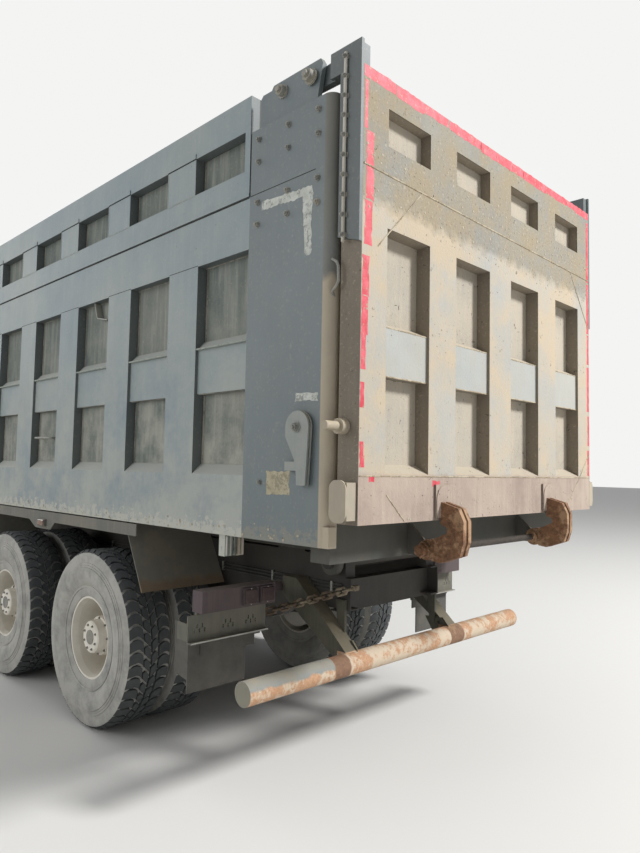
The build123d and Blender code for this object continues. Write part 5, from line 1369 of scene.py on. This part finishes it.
@dataclass
class CabDetails:
    """Seals, wipers, lamps, grille mesh and fittings of the cab, usual for this type of truck."""

    lamp_x: float = 5.2242
    lamp_z: float = 0.600
    mirror_x: float = 4.8385
    seat_x: float = 3.780
    seat_frame_z: float = 1.463
    folds: int = 7

    def build(self) -> None:
        """Builds all of it."""
        self.seals()
        self.wipers()
        self.lamps()
        self.grille()
        self.mirrors()
        self.steps()
        self.inside()

    def glass_x(self, z: float) -> float:
        """Gives the windscreen's outer face at a height."""
        return 5.102 - (z - 2.0903) * 0.2213

    def seals(self) -> None:
        """Adds the rubber seals round the windscreen, the rear panes and the door windows."""
        shape = bmesh.new()
        rim = ((-1.07, 2.095), (1.07, 2.095), (1.084, 2.109), (1.084, 2.971), (1.07, 2.985), (-1.07, 2.985),
               (-1.084, 2.971), (-1.084, 2.109), (-1.07, 2.095))
        path = [(self.glass_x(2.095 if z < 2.5 else 2.985) + 0.008, y, z) for y, z in rim]
        tube(shape, path, 0.013, 8)
        for y in (0.56, -0.56):
            corners = ((-0.245, 2.245), (0.245, 2.245), (0.245, 2.655), (-0.245, 2.655), (-0.245, 2.245))
            tube(shape, [(3.083, y + a, b) for a, b in corners], 0.010, 8)
        piece("pane_seals", shape, (SEAL_RUBBER,), "cab", smooth=True)
        for side, sign in SIDES:
            shape = bmesh.new()
            corners = ((3.654, 2.134), (3.654, 2.866), (4.538, 2.866), (4.675, 2.134), (3.654, 2.134))
            tube(shape, [(a, sign * 1.2155, b) for a, b in corners], 0.008, 8)
            rod(shape, 0.010, (3.790, sign * 1.214, 1.915), (3.790, sign * 1.219, 1.915), 16, material=1)
            piece(f"window_seal_{side}", shape, (SEAL_RUBBER, ZINC), f"door_{side}", smooth=True)

    def wipers(self) -> None:
        """Adds two wipers parked along the windscreen's foot."""
        shape = bmesh.new()
        inward = Vector((0.008, 0, 0))
        for y0, y1 in ((0.72, 0.10), (-0.10, -0.72)):
            foot, knee = Vector((5.140, y0, 2.035)), Vector((self.glass_x(2.20) + 0.034, (y0 + y1) / 2, 2.200))
            rod(shape, 0.018, (5.110, y0, 2.035), (5.152, y0, 2.035), 14)
            tube(shape, [foot, foot.lerp(knee, 0.4), knee], 0.006, 8)
            blade = ((y0 - 0.04, 2.130), (y1 + 0.02, 2.270))
            ends = [Vector((self.glass_x(z) + 0.014, y, z)) for y, z in blade]
            tube(shape, [ends[0], knee + Vector((-0.012, 0, 0)), ends[1]], 0.005, 6)
            tube(shape, [ends[0] - inward, ends[1] - inward], 0.004, 4, material=1)
        made = piece("wipers", shape, (DARK_PLASTIC, SEAL_RUBBER), "cab", smooth=True)

    def lamps(self) -> None:
        """Adds the headlamps' lenses and bezels, the indicators and the roof markers."""
        x, z = self.lamp_x, self.lamp_z
        shape = bmesh.new()
        for _, sign in SIDES:
            for y in (0.755, 0.905):
                rod(shape, 0.068, (x - 0.0040, sign * y, z), (x, sign * y, z), 32)
                rod(shape, 0.066, (x, sign * y, z), (x + 0.0078, sign * y, z), 32, tip=0.044)
                bezel = [(x, sign * y + a, z + b) for a, b in circle(0.0715, 32, closed=True)]
                tube(shape, bezel, 0.0045, 6, material=1)
        piece("headlamps", shape, (CLEAR_LENS, MIRROR_SILVER), "chassis", smooth=True)
        shape = bmesh.new()
        for _, sign in SIDES:
            block(shape, (0.014, 0.190, 0.085), (5.2052, sign * 0.960, 1.800), bevel=0.005)
            block(shape, (0.006, 0.206, 0.100), (5.2012, sign * 0.960, 1.800), bevel=0.002, material=1)
        for y in (-0.90, -0.45, 0.0, 0.45, 0.90):
            block(shape, (0.110, 0.060, 0.030), (4.700, y, 3.164), bevel=0.008)
        piece("indicators", shape, (AMBER_LENS, DARK_PLASTIC), "cab")

    def grille(self) -> None:
        """Adds the wire mesh behind the slats, the panel's catches and the blank plate."""
        shape = bmesh.new()
        for y in (-0.740 + 0.020 * k for k in range(75)):
            rod(shape, 0.0015, (5.1640, y, 1.205), (5.1640, y, 1.715), 5)
        for z in (1.210 + 0.020 * k for k in range(26)):
            rod(shape, 0.0015, (5.1655, -0.745, z), (5.1655, 0.745, z), 5)
        for _, sign in SIDES:
            for z in (1.760, 1.160):
                rod(shape, 0.020, (5.199, sign * 0.84, z), (5.2035, sign * 0.84, z), 20, material=1)
        made = piece("grille_mesh", shape, (ZINC, DARK_PLASTIC), "cab")
        shape = bmesh.new()
        block(shape, (0.003, 0.520, 0.110), (5.2415, 0.0, 0.610), bevel=0.001)
        for y in (-0.2, 0.2):
            rod(shape, 0.006, (5.2428, y, 0.610), (5.2450, y, 0.610), 10, material=1)
        piece("blank_front_plate", shape, (BLANK_PLATE, ZINC), "chassis")

    def mirrors(self) -> None:
        """Adds the silvered glass and the bolts of both mirrors."""
        shape = bmesh.new()
        for _, sign in SIDES:
            for height, z in ((0.270, 2.630), (0.110, 2.415)):
                block(shape, (0.003, 0.156, height), (self.mirror_x, sign * 1.325, z), bevel=0.001)
            for z in (2.875, 2.295):
                bolt(shape, (4.880, sign * 1.240, z), (0, 0, 1), 0.018, material=1)
        made = piece("mirror_glass", shape, (MIRROR_SILVER, ZINC), "cab")

    def steps(self) -> None:
        """Adds raised tread bars on the steps below the doors."""
        shape = bmesh.new()
        for _, sign in SIDES:
            for z in (0.497, 0.817):
                for k in range(9):
                    block(shape, (0.012, 0.200, 0.006), (4.490 + 0.026 * k, sign * 1.075, z))
        piece("step_treads", shape, (ZINC,), "chassis")

    def inside(self) -> None:
        """Adds the seats' pedestals: base frame, bellows, top frame, reclining plates and headrest rods."""
        shape = bmesh.new()
        x, floor_z = self.seat_x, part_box("seats")[0].z
        step = (self.seat_frame_z - 0.020 - floor_z - 0.050) / self.folds
        for _, sign in SIDES:
            y = sign * Seats.middle_y
            block(shape, (0.400, 0.400, 0.050), (x, y, floor_z + 0.025), bevel=0.012)
            block(shape, (0.380, 0.420, 0.040), (x, y, self.seat_frame_z), bevel=0.012)
            for k in range(self.folds):
                at = (x, y, floor_z + 0.050 + (k + 0.5) * step)
                block(shape, (0.340, 0.340, step), at, bevel=0.45 * step, material=1)
            block(shape, (0.030, 0.050, 0.110), (x + 0.205, y - sign * 0.120, 1.478), bevel=0.008)
            for way in (-0.228, 0.228):
                block(shape, (0.110, 0.012, 0.150), (3.632, y + way, 1.575), bevel=0.004)
            for way in (-0.060, 0.060):
                rod(shape, 0.006, (3.5260, y + way, 2.010), (3.4960, y + way, 2.140), 12, material=2)
        made = piece("seat_pedestals", shape, (DARK_PLASTIC, SEAL_RUBBER, ZINC), "cab", smooth=True)
        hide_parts("seats")


@dataclass
class Seats:
    """Driver's and passenger's seats: foam cushions with side bolsters, sewn channels and piping."""

    middle_y: float = 0.66
    rows: int = 36
    columns: int = 56

    def build(self) -> None:
        """Builds both seats."""
        foot, head = Vector((3.622, 0.0, 1.585)), Vector((3.464, 0.0, 2.276))
        up = (head - foot).normalized()
        pan, forward = Vector((3.842, 0.0, 1.570)), Vector((-1.0, 0.0, -0.036))
        parts = (("cushion", pan, forward, (0.474, 0.550, 0.150), 4),
                 ("back", foot + 0.262 * up, up, (0.462, 0.505, 0.108), 4),
                 ("headrest", foot + 0.622 * up, up, (0.290, 0.165, 0.094), 0))
        for side, sign in SIDES:
            for part, centre, along, size, channels in parts:
                place = centre + Vector((0.0, sign * self.middle_y, 0.0))
                made = self.cushion(f"seat_{part}_{side}", place, along, size, channels)
                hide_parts("seats")

    def outline(self, s: float, t: float, size: tuple) -> tuple[float, float]:
        """Gives a place on the cushion's middle sheet, whose sides pull in between its rounded corners.

        Args:
            s: Place across it, from -1 to 1.
            t: Place along it, from -1 to 1.
            size: The cushion's width, length and thickness.

        Returns:
            Its distance from the middle across and along.
        """
        across = s * size[0] / 2 * (1.0 - 0.030 * (1.0 - t * t)) * (1.0 - 0.07 * abs(t) ** 10)
        along = t * size[1] / 2 * (1.0 - 0.030 * (1.0 - s * s)) * (1.0 - 0.07 * abs(s) ** 10)
        return across, along

    def height(self, s: float, t: float, size: tuple, channels: int) -> float:
        """Gives the height of the cushion's upper side over its seam.

        Args:
            s: Place across it, from -1 to 1.
            t: Place along it, from -1 to 1.
            size: The cushion's width, length and thickness.
            channels: Number of sewn channels along it.

        Returns:
            The height.
        """
        edge = ((1.0 - abs(s) ** 6) * (1.0 - abs(t) ** 6)) ** 0.4
        bolster = min(1.0, max(0.0, (abs(s) - 0.55) / 0.22)) if channels else 0.0
        crown = (1.0 - s * s) * (1.0 - t * t)
        lift = size[2] / 2 * edge * (0.76 + 0.22 * max(bolster, 0.7 * crown))
        for k in range(channels):
            away = (s - (2 * k + 1 - channels) / channels * 0.56) * size[0] / 2
            lift -= 0.007 * edge * math.exp(-(away / 0.006) ** 2)
        return lift

    def cushion(self, name: str, centre: Vector, along: Vector, size: tuple, channels: int) -> Object:
        """Builds one cushion with its piping.

        Args:
            name: Name of the piece.
            centre: Middle of the cushion.
            along: Direction of its length.
            size: Its width, length and thickness.
            channels: Number of sewn channels along it.

        Returns:
            The finished object.
        """
        across, along = Vector((0.0, 1.0, 0.0)), along.normalized()
        out = across.cross(along)
        shape = bmesh.new()

        def place(s: float, t: float, lift: float) -> Vector:
            """Gives the point over (s, t) at a height."""
            a, b = self.outline(s, t, size)
            return centre + across * a + along * b + out * lift

        def under(s: float, t: float) -> float:
            """Gives the depth of the plain underside."""
            return -0.96 * self.height(0.0, t, size, 0) * (1.0 - abs(s) ** 6) ** 0.4

        ts, ss = ([math.sin(math.pi / 2 * (2 * i / count - 1)) for i in range(count + 1)]
                  for count in (self.rows, self.columns))
        for rise in (lambda s, t: self.height(s, t, size, channels), under):
            grid = [[shape.verts.new(place(s, t, rise(s, t))) for s in ss] for t in ts]
            for low, high in zip(grid, grid[1:]):
                for j in range(self.columns):
                    shape.faces.new((low[j], low[j + 1], high[j + 1], high[j]))
        bmesh.ops.remove_doubles(shape, verts=shape.verts[:], dist=1e-5)
        bmesh.ops.recalc_face_normals(shape, faces=shape.faces[:])
        rim = [(-1.0, -1.0), (1.0, -1.0), (1.0, 1.0), (-1.0, 1.0), (-1.0, -1.0)]
        steps = [0.5 - 0.5 * math.cos(math.pi * k / 16) for k in range(17)]
        for (s0, t0), (s1, t1) in zip(rim, rim[1:]):
            tube(shape, [place(s0 + (s1 - s0) * k, t0 + (t1 - t0) * k, 0.0) for k in steps], 0.004, 6)
        return piece(name, shape, (SEAT_CLOTH,), "cab", smooth=True)


@dataclass
class Studio:
    """Pale floor, soft lamps and the camera where the photographer stood."""

    floor_size: float = 160.0
    lens_mm: float = 28.0
    camera_place: tuple = (-6.959, 3.277, 1.679)
    yaw: float = -45.18
    pitch: float = 3.58
    roll: float = 1.10
    aim: tuple = (-2.0, 0.0, 1.6)
    lamp_table: tuple = (("key", (-17.0, -7.0, 12.0), 3.4, 4050.0), ("side", (1.5, 12.0, 5.5), 9.0, 480.0),
                         ("front", (13.0, 2.0, 7.0), 8.0, 560.0))

    def build(self) -> None:
        """Builds the floor, the lamps, the world and the camera."""
        self.floor()
        self.world()
        self.lamps()
        self.camera()

    def floor(self) -> None:
        """Lays the pale floor."""
        shape = bmesh.new()
        bmesh.ops.create_grid(shape, x_segments=1, y_segments=1, size=self.floor_size / 2)
        mesh = bpy.data.meshes.new("studio_floor")
        shape.to_mesh(mesh)
        shape.free()
        floor = bpy.data.objects.new("studio_floor", mesh)
        bpy.context.scene.collection.objects.link(floor)
        art = Shading("studio_floor_paint")
        matt = add(art.tree, "BsdfPrincipled", {"Base Color": linear("#dcdad6"), "Roughness": 0.9})
        mesh.materials.append(art.close(matt.outputs[0]))

    def world(self) -> None:
        """Lights the scene evenly and shows white to the camera and to glossy surfaces."""
        world = bpy.data.worlds.new("studio_sky")
        bpy.context.scene.world = world
        world.use_nodes = True
        tree = world.node_tree
        tree.nodes.clear()
        rays = add(tree, "LightPath").outputs
        seen = rays["Is Camera Ray"]
        for kind in ("Is Glossy Ray", "Is Transmission Ray"):
            seen = add(tree, "Math", {0: seen, 1: rays[kind]}, operation="MAXIMUM").outputs[0]
        fill = add(tree, "Background", {"Color": linear("#eef2f6"), "Strength": 0.42})
        white = add(tree, "Background", {"Color": linear("#f4f4f3"), "Strength": 1.0})
        mixed = add(tree, "MixShader", {0: seen, 1: fill.outputs[0], 2: white.outputs[0]})
        add(tree, "OutputWorld", {"Surface": mixed.outputs[0]})

    def lamps(self) -> None:
        """Adds three large soft lamps."""
        for name, place, size, power in self.lamp_table:
            data = bpy.data.lights.new(f"{name}_lamp", "AREA")
            data.shape, data.size, data.energy = "DISK", size, power
            lamp = bpy.data.objects.new(f"{name}_lamp", data)
            lamp.location = place
            lamp.rotation_euler = (Vector(self.aim) - Vector(place)).to_track_quat("-Z", "Y").to_euler()
            bpy.context.scene.collection.objects.link(lamp)

    def camera(self) -> None:
        """Sets the camera from the solved view."""
        data = bpy.data.cameras.new("photo_camera")
        data.sensor_width, data.lens, data.clip_end = 36.0, self.lens_mm, 400.0
        camera = bpy.data.objects.new("photo_camera", data)
        yaw, pitch, roll = (math.radians(v) for v in (self.yaw, self.pitch, self.roll))
        forward = Vector((math.cos(pitch) * math.cos(yaw), math.cos(pitch) * math.sin(yaw), math.sin(pitch)))
        turned = forward.to_track_quat("-Z", "Y").to_matrix() @ Matrix.Rotation(roll, 3, "Z")
        camera.matrix_world = Matrix.Translation(self.camera_place) @ turned.to_4x4()
        bpy.context.scene.collection.objects.link(camera)
        bpy.context.scene.camera = camera


def dress_nodes(frame: dict) -> None:
    """Gives every CAD node of the loaded frame its finish."""
    for names, finish in NODE_FINISH:
        for node in filter(None, map(frame["nodes"].get, names)):
            for slot in node.material_slots:
                slot.material = material_of(finish)


def main() -> None:
    """Builds everything in order."""
    logging.basicConfig(level=logging.INFO, format="%(name)s %(message)s")
    random.seed(7)
    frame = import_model()
    dress_nodes(frame)
    Studio().build()
    TyreSet(Tyre()).build()
    for group in (BedDetails("left", 31), BedDetails("right", 57), GateDetails(), WheelDetails(), Underside(),
                  CabDetails(), Seats()):
        group.build()
    bpy.context.scene.view_settings.view_transform = "Standard"


if __name__ == "__main__":
    main()
